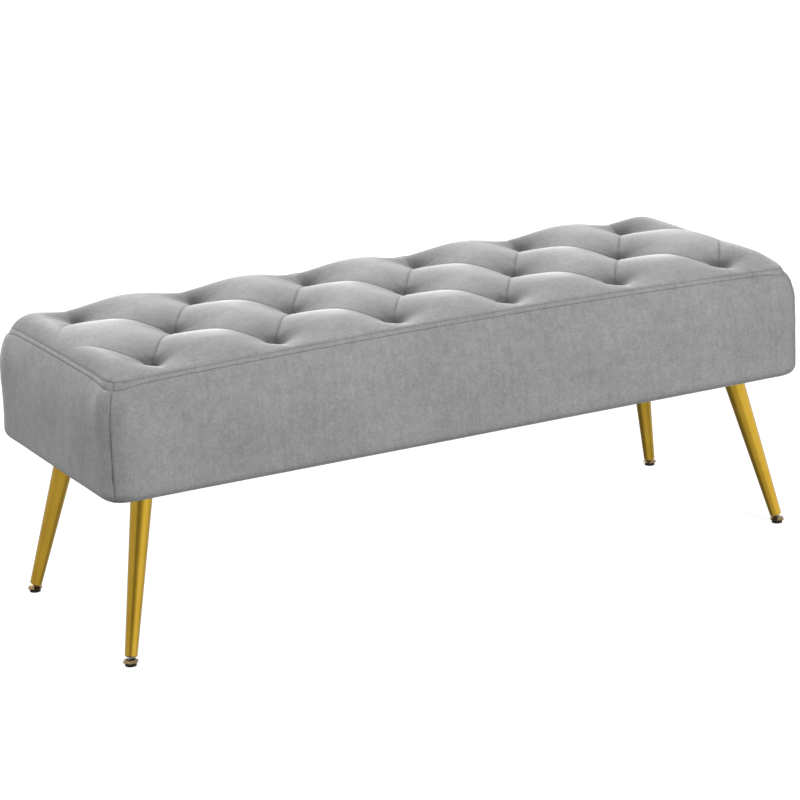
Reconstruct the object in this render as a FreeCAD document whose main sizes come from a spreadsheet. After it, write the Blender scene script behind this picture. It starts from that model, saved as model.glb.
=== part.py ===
"""A tufted ottoman: an upholstered box with a diamond-tufted top on four splayed tapered metal legs.

The frame is Z up in millimetres. The origin is on the floor under the middle of the box,
X runs along the long side, and the front of the box faces -Y.
"""

import FreeCAD, Part
import math
import os
import re

V = FreeCAD.Vector

# Driving dimensions, each with its name and its value in millimetres or a plain count
SIZES = [
    # Upholstered box: the sewn top seam, the bulge of the boxing beyond it, the crown above it
    ("seam_length", 1122),
    ("seam_width", 390),
    ("seam_height", 415),
    ("seam_corner_radius", 26),
    ("bulge_end", 18),
    ("bulge_side", 20),
    ("bulge_corner_radius", 36),
    ("box_bottom", 245),
    ("bottom_edge_radius", 14),
    # Tufted top: puffs on a shouldered base, pits on a diamond lattice
    ("shoulder_rise", 13),
    ("shoulder_inset", 10),
    ("puff_height", 14),
    ("tuft_columns", 6),
    ("crease_overrun", 9),
    ("tuft_row_margin", 57),
    ("pit_depth", 36),
    ("pit_mouth_radius", 17),
    ("pit_floor_radius", 2.5),
    ("puff_corner_radius", 24),
    ("puff_corner_reach", 6),
    ("crease_gap", 1.2),
    ("top_core_depth", 18),
    # Padding and wooden frame
    ("side_padding", 11),
    ("end_padding", 11),
    ("foam_thickness", 20),
    ("deck_thickness", 12),
    ("rail_thickness", 15),
    ("frame_lift", 2),
    ("cross_rail_height", 60),
    ("cross_rail_pitches", 1.25),
    ("gusset_leg", 60),
    ("gusset_height", 40),
    ("leg_board_margin", 56),
    ("leg_board_thickness", 18),
    ("dust_cover_thickness", 0.6),
    ("dust_cover_overlap", 7),
    # Legs: each top is inset from the frame's inner faces, and each foot splays out beyond its top
    ("leg_inset_length", 36),
    ("leg_inset_width", 34.5),
    ("foot_splay_length", 53.5),
    ("foot_splay_width", 47.5),
    ("leg_top_diameter", 32),
    ("leg_bottom_diameter", 18),
    ("leg_wall", 1.5),
    ("leg_end_above_ball", 7),
    ("plate_size", 66),
    ("plate_thickness", 3),
    ("bolt_spacing", 46),
    # Leg end insert and levelling foot
    ("insert_length", 24),
    ("insert_drop", 1.5),
    ("insert_edge", 0.5),
    ("stud_diameter", 6),
    ("stud_length", 26),
    ("neck_diameter", 3.6),
    ("neck_length", 4.4),
    ("ball_diameter", 8),
    ("ball_height", 6.5),
    ("pad_diameter", 16.5),
    ("pad_thickness", 3),
    ("cap_thickness", 6),
    ("cap_across_corners", 24),
    ("cap_end_across_corners", 16),
    # Fasteners and ties
    ("bolt_diameter", 6),
    ("bolt_length", 22),
    ("bolt_head_diameter", 10.5),
    ("bolt_head_height", 3.3),
    ("bolt_socket", 4),
    ("nut_flange_diameter", 14),
    ("nut_flange_thickness", 1.5),
    ("nut_barrel_diameter", 8),
    ("nut_barrel_length", 11),
    ("deck_screw_diameter", 4),
    ("deck_screw_length", 32),
    ("frame_screw_diameter", 4.5),
    ("frame_screw_length", 50),
    ("screw_head_ratio", 2),
    ("frame_screw_rows", 3),
    ("deck_screw_columns", 5),
    ("deck_screw_margin", 60),
    ("tie_diameter", 2),
    ("knot_diameter", 5),
    ("knot_height", 3),
    ("washer_diameter", 18),
    ("washer_thickness", 1.5),
    # Clearances
    ("soft_clearance", 0.3),
    ("fit_clearance", 0.05),
    ("loose_clearance", 0.3),
]

# Lengths worked out from the driving ones, in the order in which they build on each other
DERIVED = [
    ("frame_length", "seam_length - 2 * end_padding"),
    ("frame_width", "seam_width - 2 * side_padding"),
    ("frame_bottom", "box_bottom + frame_lift"),
    ("foam_top", "seam_height - top_core_depth"),
    ("deck_top", "foam_top - foam_thickness"),
    ("deck_bottom", "deck_top - deck_thickness"),
    ("rail_height", "deck_bottom - frame_bottom"),
    ("inner_length", "frame_length - 2 * rail_thickness"),
    ("inner_width", "frame_width - 2 * rail_thickness"),
    ("leg_top_spacing_length", "inner_length - 2 * leg_inset_length"),
    ("leg_top_spacing_width", "inner_width - 2 * leg_inset_width"),
    ("foot_spacing_length", "leg_top_spacing_length + 2 * foot_splay_length"),
    ("foot_spacing_width", "leg_top_spacing_width + 2 * foot_splay_width"),
    ("leg_board_length", "leg_inset_length + plate_size / 2 + leg_board_margin"),
    ("leg_board_width", "leg_inset_width + plate_size / 2 + leg_board_margin"),
    ("tuft_pitch", "(seam_length + 2 * crease_overrun) / tuft_columns"),
    ("tuft_row_offset", "seam_width / 2 - tuft_row_margin"),
    ("cross_rail_place", "tuft_pitch * cross_rail_pitches"),
    ("core_length", "frame_length - 2 * soft_clearance"),
    ("core_width", "frame_width - 2 * soft_clearance"),
    ("crease_level", "seam_height + shoulder_rise"),
    ("crown_height", "crease_level + puff_height"),
    ("cover_bottom", "box_bottom - dust_cover_thickness"),
    ("plate_bottom", "cover_bottom - plate_thickness"),
    ("leg_board_top", "box_bottom + leg_board_thickness"),
    ("splay_length", "foot_splay_length / (plate_bottom - ball_height)"),
    ("splay_width", "foot_splay_width / (plate_bottom - ball_height)"),
    ("splay_norm", "sqrt(1 + splay_length ^ 2 + splay_width ^ 2)"),
    ("leg_length", "(plate_bottom - ball_height) * splay_norm - leg_end_above_ball"),
    ("cone_length", "leg_length + leg_top_diameter"),
    (
        "cone_top_diameter",
        "leg_bottom_diameter + (leg_top_diameter - leg_bottom_diameter) * cone_length / leg_length",
    ),
    ("insert_diameter", "leg_bottom_diameter - 2 * leg_wall - 2 * fit_clearance"),
    ("washer_top", "deck_bottom"),
    ("washer_bottom", "washer_top - washer_thickness"),
]

CORNERS = {
    "front_left": (-1, -1),
    "front_right": (1, -1),
    "back_left": (-1, 1),
    "back_right": (1, 1),
}

doc = FreeCAD.newDocument("tufted_ottoman")
sheet = doc.addObject("Spreadsheet::Sheet", "Sizes")
for row, (name, value) in enumerate(SIZES, start=1):
    sheet.set(f"A{row}", name)
    sheet.set(f"B{row}", str(value))
    sheet.setAlias(f"B{row}", name)
doc.recompute()

SIZE_NAMES = {name for name, value in SIZES}
DERIVED_NAMES = {name for name, text in DERIVED}


def formula(text):
    """The text with each size's name pointed at the object that holds it."""

    def full_name(match):
        word = match.group(0)
        if word in SIZE_NAMES:
            return "Sizes." + word
        if word in DERIVED_NAMES:
            return "Derived." + word
        return word

    return re.sub(r"[a-z][a-z_]+", full_name, str(text))


derived = doc.addObject("App::VarSet", "Derived")
for name, text in DERIVED:
    derived.addProperty("App::PropertyFloat", name, "Derived")
    derived.setExpression(name, formula(text))
doc.recompute()


def size(name):
    """The number behind a size's name."""
    if name in SIZE_NAMES:
        return float(sheet.get(name))
    return float(getattr(derived, name))


nodes = {}


def keep(label, feature):
    """Make a feature one of the named pieces."""
    feature.Label = label
    nodes[label] = feature
    return feature


def bind(feature, **formulas):
    """Tie a feature's properties to formulas."""
    for prop, text in formulas.items():
        feature.setExpression(prop, formula(text))


def place(feature, x="0", y="0", z="0"):
    """Tie a feature's place to formulas."""
    for letter, text in zip("xyz", (x, y, z)):
        feature.setExpression(f"Placement.Base.{letter}", formula(text))
    return feature


def box(name, length, width, height, x="0", y="0", z="0"):
    """A box that is centred on x and y and stands on z."""
    feature = doc.addObject("Part::Box", name)
    bind(feature, Length=length, Width=width, Height=height)
    return place(feature, f"({x}) - ({length}) / 2", f"({y}) - ({width}) / 2", z)


def cylinder(name, diameter, height, x="0", y="0", z="0"):
    feature = doc.addObject("Part::Cylinder", name)
    bind(feature, Radius=f"({diameter}) / 2", Height=height)
    return place(feature, x, y, z)


def cone(name, low_diameter, high_diameter, height, x="0", y="0", z="0"):
    feature = doc.addObject("Part::Cone", name)
    bind(feature, Radius1=f"({low_diameter}) / 2", Radius2=f"({high_diameter}) / 2", Height=height)
    return place(feature, x, y, z)


def sphere(name, diameter, x="0", y="0", z="0"):
    feature = doc.addObject("Part::Sphere", name)
    bind(feature, Radius=f"({diameter}) / 2")
    return place(feature, x, y, z)


def cut(name, base, *tools):
    """The base with each tool taken away in turn."""
    for number, tool in enumerate(tools):
        feature = doc.addObject("Part::Cut", f"{name}_cut_{number}")
        feature.Base = base
        feature.Tool = tool
        base = feature
    return base


def common(name, base, tool):
    feature = doc.addObject("Part::Common", name)
    feature.Base = base
    feature.Tool = tool
    return feature


def fuse(name, *parts):
    feature = doc.addObject("Part::MultiFuse", name)
    feature.Shapes = list(parts)
    return feature


def group(name, solids):
    """A feature that holds separate equal solids."""
    feature = doc.addObject("Part::Feature", name)
    feature.Shape = Part.makeCompound(solids)
    return feature


def one_solid(name, solid):
    feature = doc.addObject("Part::Feature", name)
    feature.Shape = solid
    return feature


# Outlines with rounded corners
def rounded_outline(corners, radius, z, longest_reach=math.inf):
    """A closed wire through the corners of a convex outline, each rounded with an arc.

    A sharp corner gets a smaller arc, so that no arc passes its corner by more than the longest reach.
    """
    count = len(corners)
    points = [V(x, y, z) for x, y in corners]
    edges = []
    last_end = None
    first_start = None
    for index, corner in enumerate(points):
        to_last = (points[index - 1] - corner).normalize()
        to_next = (points[(index + 1) % count] - corner).normalize()
        half_angle = to_last.getAngle(to_next) / 2
        reach_per_radius = 1 / math.sin(half_angle) - 1
        corner_radius = min(radius, longest_reach / reach_per_radius)
        tangent = corner_radius / math.tan(half_angle)
        middle = (to_last + to_next).normalize()
        start = corner + to_last * tangent
        end = corner + to_next * tangent
        top = corner + middle * (corner_radius * reach_per_radius)
        if last_end is None:
            first_start = start
        else:
            edges.append(Part.LineSegment(last_end, start).toShape())
        edges.append(Part.Arc(start, top, end).toShape())
        last_end = end
    edges.append(Part.LineSegment(last_end, first_start).toShape())
    return Part.Wire(edges)


def rounded_rectangle(length, width, radius, z):
    x = length / 2
    y = width / 2
    return rounded_outline([(-x, -y), (x, -y), (x, y), (-x, y)], radius, z)


# Boxing: a soft shell whose sides swell between the top seam and the bottom edge
BOXING_LEVELS = (0, 0.04, 0.1, 0.18, 0.28, 0.4, 0.55, 0.72)
FULL_LEVEL = 0.66
SWELL_FULLNESS = 2.9
BOTTOM_EDGE_ANGLES = (0, 25, 50, 72, 90)


def swell(level):
    """How far the boxing swells at a level, 0 at the seam. It is full from the full level down."""
    return 1 - (1 - min(level / FULL_LEVEL, 1)) ** SWELL_FULLNESS


def boxing_section(share, drawn_in, z):
    """The outline of the boxing at a share of its swell, drawn in by the rounding of the bottom edge."""
    radius = size("seam_corner_radius") * (1 - share) + size("bulge_corner_radius") * share
    return rounded_rectangle(
        size("seam_length") + 2 * size("bulge_end") * share - 2 * drawn_in,
        size("seam_width") + 2 * size("bulge_side") * share - 2 * drawn_in,
        radius - drawn_in,
        z,
    )


def boxing_form():
    """The outer form of the boxing, lofted through rounded rectangles."""
    depth = size("seam_height") - size("box_bottom")
    sections = [
        boxing_section(swell(level), 0, size("seam_height") - depth * level)
        for level in BOXING_LEVELS
    ]
    edge = size("bottom_edge_radius")
    for angle in BOTTOM_EDGE_ANGLES:
        turn = math.radians(angle)
        drawn_in = edge * (1 - math.cos(turn))
        sections.append(boxing_section(1, drawn_in, size("box_bottom") + edge * (1 - math.sin(turn))))
    return Part.makeLoft(sections, True, False)


def corner_wedge(direction):
    """The stretch of the box that one boxing panel covers, parted at 45 degrees at the corners."""
    half_length = size("seam_length") / 2
    half_width = size("seam_width") / 2
    far = size("bulge_end") + size("bulge_side") + size("bulge_corner_radius")
    ridge = half_length - half_width
    if direction in ("front", "back"):
        side = -1 if direction == "front" else 1
        outline = [
            (-ridge, 0),
            (ridge, 0),
            (half_length + far, side * (half_width + far)),
            (-half_length - far, side * (half_width + far)),
        ]
    else:
        side = -1 if direction == "left" else 1
        outline = [
            (side * ridge, 0),
            (side * (half_length + far), -half_width - far),
            (side * (half_length + far), half_width + far),
        ]
    bottom = size("box_bottom") - far
    points = [V(x, y, bottom) for x, y in outline]
    face = Part.Face(Part.makePolygon(points + points[:1]))
    return face.extrude(V(0, 0, size("crown_height") + far - bottom))


boxing = one_solid("boxing_form", boxing_form())
frame_space = box(
    "frame_space",
    "frame_length + 2 * soft_clearance",
    "frame_width + 2 * soft_clearance",
    "crown_height - frame_bottom + soft_clearance",
    z="frame_bottom - soft_clearance",
)
lip_opening = box(
    "lip_opening",
    "inner_length + 2 * soft_clearance",
    "inner_width + 2 * soft_clearance",
    "crown_height - box_bottom",
    z="box_bottom - frame_lift",
)
for direction in ("front", "back", "left", "right"):
    wedge = one_solid(f"{direction}_wedge", corner_wedge(direction))
    stretch = common(f"{direction}_stretch", boxing, wedge)
    keep(f"{direction}_panel", cut(f"{direction}_panel", stretch, frame_space, lip_opening))


# Tuft lattice
def tuft_places():
    """The middle of each pit: long rows in front and at the back, a short row between them."""
    pitch = size("tuft_pitch")
    offset = size("tuft_row_offset")
    columns = int(size("tuft_columns"))
    places = []
    for row_y, count in ((-offset, columns), (0, columns - 1), (offset, columns)):
        for column in range(count):
            places.append(((column - (count - 1) / 2) * pitch, row_y))
    return places


def puff_cells():
    """The outline of each puff between the creases."""
    pitch = size("tuft_pitch")
    offset = size("tuft_row_offset")
    columns = int(size("tuft_columns"))
    edge_x = size("seam_length") / 2 - size("shoulder_inset")
    edge_y = size("seam_width") / 2 - size("shoulder_inset")
    outer = (columns - 1) / 2 * pitch
    # Where the outermost crease crosses the end of the puffed field
    end_y = offset * (outer + pitch / 2 - edge_x) / (pitch / 2)
    cells = []
    for column in range(columns - 2):
        middle = (column - (columns - 3) / 2) * pitch
        cells.append([(middle, -offset), (middle + pitch / 2, 0), (middle, offset), (middle - pitch / 2, 0)])
    for column in range(columns - 1):
        middle = (column - (columns - 2) / 2) * pitch
        for side in (-1, 1):
            cells.append(
                [
                    (middle - pitch / 2, side * edge_y),
                    (middle + pitch / 2, side * edge_y),
                    (middle + pitch / 2, side * offset),
                    (middle, 0),
                    (middle - pitch / 2, side * offset),
                ]
            )
    for end in (-1, 1):
        cells.append(
            [
                (end * outer, -offset),
                (end * edge_x, -end_y),
                (end * edge_x, end_y),
                (end * outer, offset),
                (end * (outer - pitch / 2), 0),
            ]
        )
        for side in (-1, 1):
            cells.append(
                [
                    (end * edge_x, side * edge_y),
                    (end * outer, side * edge_y),
                    (end * outer, side * offset),
                    (end * edge_x, side * end_y),
                ]
            )
    return cells


PUFF_ANGLES = (0, 25, 50, 70, 86)
PUFF_REACH = 0.62


def puff(corners):
    """One puff, lofted through its outline drawn in towards its middle as it rises."""
    middle_x = sum(x for x, y in corners) / len(corners)
    middle_y = sum(y for x, y in corners) / len(corners)
    half_span = min(math.dist(corner, (middle_x, middle_y)) for corner in corners)
    base_share = 1 - size("crease_gap") / half_span
    root = size("crease_gap") / 2
    sections = []
    for angle in PUFF_ANGLES:
        turn = math.radians(angle)
        share = base_share * (1 - PUFF_REACH * (1 - math.cos(turn)))
        rise = size("puff_height") * math.sin(turn) / math.sin(math.radians(PUFF_ANGLES[-1]))
        outline = [(middle_x + (x - middle_x) * share, middle_y + (y - middle_y) * share) for x, y in corners]
        z = size("crease_level") + rise
        radius = size("puff_corner_radius") * share
        sections.append(rounded_outline(outline, radius, z, size("puff_corner_reach") * share))
    dome = Part.makeLoft(sections, True, False)
    foot = Part.Face(sections[0]).extrude(V(0, 0, -root))
    return dome.fuse(foot)


RIM_ANGLES = (0, 30, 60, 90)


def tufted_top_base():
    """The sewn-down base of the top: a shouldered rim over the core that lies inside the boxing."""
    rim_bottom = size("seam_height") + size("soft_clearance")
    rise = size("crease_level") - rim_bottom
    inset = size("shoulder_inset")
    sections = []
    for angle in RIM_ANGLES:
        turn = math.radians(angle)
        drawn_in = 2 * inset * (1 - math.cos(turn))
        sections.append(
            rounded_rectangle(
                size("seam_length") - drawn_in,
                size("seam_width") - drawn_in,
                size("seam_corner_radius"),
                rim_bottom + rise * math.sin(turn),
            )
        )
    rim = Part.makeLoft(sections, True, False)
    core_height = rim_bottom - size("foam_top")
    core_corner = V(-size("core_length") / 2, -size("core_width") / 2, size("foam_top"))
    core = Part.makeBox(size("core_length"), size("core_width"), core_height, core_corner)
    return rim.fuse(core)


def tufted_top():
    """The top panel: its base, its puffs, its pits and the blind holes of its ties."""
    crown = size("crown_height")
    floor = crown - size("pit_depth")
    whole = tufted_top_base().fuse([puff(corners) for corners in puff_cells()])
    hollows = []
    for x, y in tuft_places():
        radii = (size("pit_floor_radius"), size("pit_mouth_radius"))
        hollows.append(Part.makeCone(*radii, size("pit_depth"), V(x, y, floor)))
        hole_radius = size("tie_diameter") / 2 + size("loose_clearance")
        hole_height = floor - size("foam_top") - size("tie_diameter")
        hollows.append(Part.makeCylinder(hole_radius, hole_height, V(x, y, size("foam_top"))))
    return whole.cut(hollows).removeSplitter()


keep("tufted_top", one_solid("tufted_top", tufted_top()))

# Tuft ties: a thread from each pit through the foam and the deck to a knot under its washer
tie_top = size("crown_height") - size("pit_depth") - size("tie_diameter") - size("loose_clearance")
knot_bottom = size("washer_bottom") - size("knot_height")
ties = []
washers = []
tie_holes = []
for x, y in tuft_places():
    knot = Part.makeCylinder(size("knot_diameter") / 2, size("knot_height"), V(x, y, knot_bottom))
    thread = Part.makeCylinder(size("tie_diameter") / 2, tie_top - knot_bottom, V(x, y, knot_bottom))
    ties.append(knot.fuse(thread))
    hole_radius = size("tie_diameter") / 2 + size("loose_clearance")
    hole_bottom = size("washer_bottom") - size("loose_clearance")
    tie_hole = Part.makeCylinder(hole_radius, size("foam_top") - hole_bottom, V(x, y, hole_bottom))
    disc_place = V(x, y, size("washer_bottom"))
    disc = Part.makeCylinder(size("washer_diameter") / 2, size("washer_thickness"), disc_place)
    washers.append(disc.cut(tie_hole))
    tie_holes.append(tie_hole)
keep("tuft_ties", group("tuft_ties", ties))
keep("tuft_washers", group("tuft_washers", washers))
tie_drillings = group("tie_drillings", tie_holes)


# Countersunk screws, each with the drilling that takes it
def countersunk_screw(diameter, length, clearance):
    """A screw that points down from its head's flat top at the origin."""
    radius = diameter / 2 + clearance
    head_radius = diameter * size("screw_head_ratio") / 2 + clearance
    head_height = head_radius - radius
    shank = Part.makeCylinder(radius, length + clearance, V(0, 0, -length - clearance))
    head = Part.makeCone(radius, head_radius, head_height, V(0, 0, -head_height))
    return shank.fuse(head)


def set_screws(kind, placements):
    """The screws of one kind and, apart from them, the drillings that they sit in."""
    diameter = size(f"{kind}_screw_diameter")
    length = size(f"{kind}_screw_length")
    screws = []
    drillings = []
    for placement in placements:
        for clearance, found in ((0, screws), (size("fit_clearance"), drillings)):
            screw = countersunk_screw(diameter, length, clearance)
            screw.Placement = placement
            found.append(screw)
    keep(f"{kind}_screws", group(f"{kind}_screws", screws))
    return group(f"{kind}_screw_drillings", drillings)


def deck_screw_placements():
    """Screws down through the deck into the middle of each rail."""
    rail_y = size("frame_width") / 2 - size("rail_thickness") / 2
    rail_x = size("frame_length") / 2 - size("rail_thickness") / 2
    columns = int(size("deck_screw_columns"))
    pitch = (size("frame_length") - 2 * size("deck_screw_margin")) / (columns - 1)
    places = []
    for column in range(columns):
        x = (column - (columns - 1) / 2) * pitch
        places += [(x, -rail_y), (x, rail_y)]
    for end in (-1, 1):
        places += [(end * rail_x, -rail_y / 2), (end * rail_x, rail_y / 2)]
    return [FreeCAD.Placement(V(x, y, size("deck_top")), FreeCAD.Rotation()) for x, y in places]


FIRST_SCREW_ROW = 0.75


def frame_screw_placements():
    """Screws through the front and back rails into the ends of the side rails."""
    rail_x = size("frame_length") / 2 - size("rail_thickness") / 2
    rows = int(size("frame_screw_rows"))
    pitch = size("rail_height") / (rows + 1)
    placements = []
    for side in (-1, 1):
        turn = FreeCAD.Rotation(V(1, 0, 0), 90 if side < 0 else -90)
        for end in (-1, 1):
            for row in range(rows):
                z = size("frame_bottom") + (row + FIRST_SCREW_ROW) * pitch
                placements.append(FreeCAD.Placement(V(end * rail_x, side * size("frame_width") / 2, z), turn))
    return placements


deck_drillings = set_screws("deck", deck_screw_placements())
frame_drillings = set_screws("frame", frame_screw_placements())

# Foam, deck and frame
foam = box("foam_block", "core_length", "core_width", "foam_thickness", z="deck_top")
keep("foam_slab", cut("foam_slab", foam, tie_drillings))

deck = box("deck_board", "frame_length", "frame_width", "deck_thickness", z="deck_bottom")
keep("seat_deck", cut("seat_deck", deck, tie_drillings, deck_drillings))

for side, name in ((-1, "front_rail"), (1, "back_rail")):
    rail_y = f"{side} * (frame_width - rail_thickness) / 2"
    blank = box(f"{name}_blank", "frame_length", "rail_thickness", "rail_height", y=rail_y, z="frame_bottom")
    keep(name, cut(name, blank, deck_drillings, frame_drillings))

for end, name in ((-1, "left_rail"), (1, "right_rail")):
    rail_x = f"{end} * (frame_length - rail_thickness) / 2"
    blank = box(f"{name}_blank", "rail_thickness", "inner_width", "rail_height", x=rail_x, z="frame_bottom")
    keep(name, cut(name, blank, deck_drillings, frame_drillings))

for end, name in ((-1, "cross_rail_left"), (1, "cross_rail_right")):
    keep(
        name,
        box(
            name,
            "rail_thickness",
            "inner_width",
            "cross_rail_height",
            x=f"{end} * cross_rail_place",
            z="deck_bottom - cross_rail_height",
        ),
    )

cover = box(
    "cover_sheet",
    "inner_length + 2 * dust_cover_overlap",
    "inner_width + 2 * dust_cover_overlap",
    "dust_cover_thickness",
    z="cover_bottom",
)


# Leg bolts and T-nuts: four of each at every leg
BOLT_HEAD_TAPER = 0.7
BOLT_SOCKET_DEPTH = 0.7


def leg_bolt():
    """A button-head bolt that points up from the underside of its plate, at the origin."""
    radius = size("bolt_head_diameter") / 2
    height = size("bolt_head_height")
    head = Part.makeCone(radius * BOLT_HEAD_TAPER, radius, height, V(0, 0, -height))
    shank = Part.makeCylinder(size("bolt_diameter") / 2, size("bolt_length"))
    socket_points = []
    for corner in range(7):
        turn = math.radians(60 * corner)
        reach = size("bolt_socket") / math.sqrt(3)
        socket_points.append(V(reach * math.cos(turn), reach * math.sin(turn), -height))
    socket = Part.Face(Part.makePolygon(socket_points)).extrude(V(0, 0, height * BOLT_SOCKET_DEPTH))
    return head.fuse(shank).cut(socket)


def t_nut():
    """A T-nut with its barrel down, its flange's underside at the origin."""
    flange = Part.makeCylinder(size("nut_flange_diameter") / 2, size("nut_flange_thickness"))
    barrel_place = V(0, 0, -size("nut_barrel_length"))
    barrel = Part.makeCylinder(size("nut_barrel_diameter") / 2, size("nut_barrel_length"), barrel_place)
    bore_radius = size("bolt_diameter") / 2 + size("fit_clearance")
    bore_height = size("nut_barrel_length") + size("nut_flange_thickness")
    return flange.fuse(barrel).cut(Part.makeCylinder(bore_radius, bore_height, barrel_place))


bolts = []
nuts = []
bolt_holes = []
nut_holes = []
for end, side in CORNERS.values():
    for across in (-0.5, 0.5):
        for along in (-0.5, 0.5):
            x = end * size("leg_top_spacing_length") / 2 + along * size("bolt_spacing")
            y = side * size("leg_top_spacing_width") / 2 + across * size("bolt_spacing")
            bolts.append(leg_bolt().translate(V(x, y, size("plate_bottom"))))
            nuts.append(t_nut().translate(V(x, y, size("leg_board_top"))))
            hole_radius = size("bolt_diameter") / 2 + size("loose_clearance")
            hole_height = size("leg_board_top") - size("plate_bottom")
            bolt_holes.append(Part.makeCylinder(hole_radius, hole_height, V(x, y, size("plate_bottom"))))
            seat_radius = size("nut_barrel_diameter") / 2 + size("fit_clearance")
            seat_place = V(x, y, size("leg_board_top") - size("nut_barrel_length") - size("loose_clearance"))
            seat_height = size("nut_barrel_length") + size("loose_clearance")
            nut_holes.append(Part.makeCylinder(seat_radius, seat_height, seat_place))
keep("leg_bolts", group("leg_bolts", bolts))
keep("t_nuts", group("t_nuts", nuts))
bolt_drillings = group("bolt_drillings", bolt_holes)
nut_drillings = group("nut_drillings", nut_holes)
keep("dust_cover", cut("dust_cover", cover, bolt_drillings))


# Gussets in the frame's corners, under the deck
def gusset(end, side):
    x = end * size("inner_length") / 2
    y = side * size("inner_width") / 2
    z = size("deck_bottom") - size("gusset_height")
    leg = size("gusset_leg")
    points = [V(x, y, z), V(x - end * leg, y, z), V(x, y - side * leg, z)]
    return Part.Face(Part.makePolygon(points + points[:1])).extrude(V(0, 0, size("gusset_height")))


# One leg with its board, plate, tube, insert and levelling foot at each corner
def along_leg(feature, end, side, distance):
    """Put a feature that was drawn upright on the leg's axis, a distance above the ball's middle."""
    axis = V(side * size("splay_width"), -end * size("splay_length"), 0)
    tilt = math.degrees(math.atan(axis.Length))
    feature.Placement = FreeCAD.Placement(V(), FreeCAD.Rotation(axis, tilt))
    return place(
        feature,
        f"{end} * (foot_spacing_length / 2 - ({distance}) * splay_length / splay_norm)",
        f"{side} * (foot_spacing_width / 2 - ({distance}) * splay_width / splay_norm)",
        f"ball_height + ({distance}) / splay_norm",
    )


def leg_tube(corner, end, side):
    outer = cone(f"{corner}_tube_outer", "leg_bottom_diameter", "cone_top_diameter", "cone_length")
    inner = cone(
        f"{corner}_tube_inner",
        "leg_bottom_diameter - 2 * leg_wall",
        "cone_top_diameter - 2 * leg_wall",
        "cone_length",
    )
    for feature in (outer, inner):
        along_leg(feature, end, side, "leg_end_above_ball")
    above = box(
        f"{corner}_above_plate",
        "4 * leg_top_diameter",
        "4 * leg_top_diameter",
        "4 * leg_top_diameter",
        x=f"{end} * leg_top_spacing_length / 2",
        y=f"{side} * leg_top_spacing_width / 2",
        z="plate_bottom",
    )
    return cut(f"{corner}_leg_tube", outer, inner, above)


def leg_insert(corner, end, side):
    low = "leg_end_above_ball - insert_drop"
    edge = cone(
        f"{corner}_insert_edge", "insert_diameter - 2 * insert_edge", "insert_diameter", "insert_edge"
    )
    along_leg(edge, end, side, low)
    barrel = cylinder(f"{corner}_insert_barrel", "insert_diameter", "insert_length - insert_edge")
    along_leg(barrel, end, side, f"{low} + insert_edge")
    bore = cylinder(f"{corner}_insert_bore", "stud_diameter + 2 * fit_clearance", "insert_length")
    along_leg(bore, end, side, low)
    return cut(f"{corner}_leg_insert", fuse(f"{corner}_insert_body", edge, barrel), bore)


def foot_stud(corner, end, side):
    ball = sphere(f"{corner}_stud_ball", "ball_diameter")
    along_leg(ball, end, side, "0")
    neck = cylinder(f"{corner}_stud_neck", "neck_diameter", "neck_length")
    along_leg(neck, end, side, "0")
    rod = cylinder(f"{corner}_stud_rod", "stud_diameter", "stud_length - neck_length")
    along_leg(rod, end, side, "neck_length")
    return fuse(f"{corner}_foot_stud", ball, neck, rod)


def hexagon(name, across_corners, x, y, z):
    feature = doc.addObject("Part::RegularPolygon", name)
    feature.Polygon = 6
    bind(feature, Circumradius=f"({across_corners}) / 2")
    return place(feature, x, y, z)


def foot_cap(corner, x, y, socket):
    """A hexagonal cap, widest at half its height."""
    low = hexagon(f"{corner}_cap_low", "cap_end_across_corners", x, y, "pad_thickness")
    middle = hexagon(f"{corner}_cap_middle", "cap_across_corners", x, y, "pad_thickness + cap_thickness / 2")
    high = hexagon(f"{corner}_cap_high", "cap_end_across_corners", x, y, "pad_thickness + cap_thickness")
    body = doc.addObject("Part::Loft", f"{corner}_cap_body")
    body.Sections = [low, middle, high]
    body.Solid = True
    body.Ruled = True
    return cut(f"{corner}_foot_cap", body, socket)


def foot_pad(corner, x, y, socket):
    disc = cylinder(f"{corner}_pad_disc", "pad_diameter", "pad_thickness", x, y)
    return cut(f"{corner}_foot_pad", disc, socket)


for corner, (end, side) in CORNERS.items():
    keep(f"gusset_{corner}", one_solid(f"gusset_{corner}", gusset(end, side)))
    board = box(
        f"{corner}_board_blank",
        "leg_board_length",
        "leg_board_width",
        "leg_board_thickness",
        x=f"{end} * (inner_length - leg_board_length) / 2",
        y=f"{side} * (inner_width - leg_board_width) / 2",
        z="box_bottom",
    )
    keep(f"leg_board_{corner}", cut(f"leg_board_{corner}", board, bolt_drillings, nut_drillings))
    plate = box(
        f"{corner}_plate_blank",
        "plate_size",
        "plate_size",
        "plate_thickness",
        x=f"{end} * leg_top_spacing_length / 2",
        y=f"{side} * leg_top_spacing_width / 2",
        z="plate_bottom",
    )
    keep(f"leg_plate_{corner}", cut(f"leg_plate_{corner}", plate, bolt_drillings))
    keep(f"leg_tube_{corner}", leg_tube(corner, end, side))
    keep(f"leg_insert_{corner}", leg_insert(corner, end, side))
    keep(f"foot_stud_{corner}", foot_stud(corner, end, side))
    foot_x = f"{end} * foot_spacing_length / 2"
    foot_y = f"{side} * foot_spacing_width / 2"
    socket = sphere(
        f"{corner}_socket", "ball_diameter + 2 * fit_clearance", foot_x, foot_y, "ball_height"
    )
    keep(f"foot_cap_{corner}", foot_cap(corner, foot_x, foot_y, socket))
    keep(f"foot_pad_{corner}", foot_pad(corner, foot_x, foot_y, socket))

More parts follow.
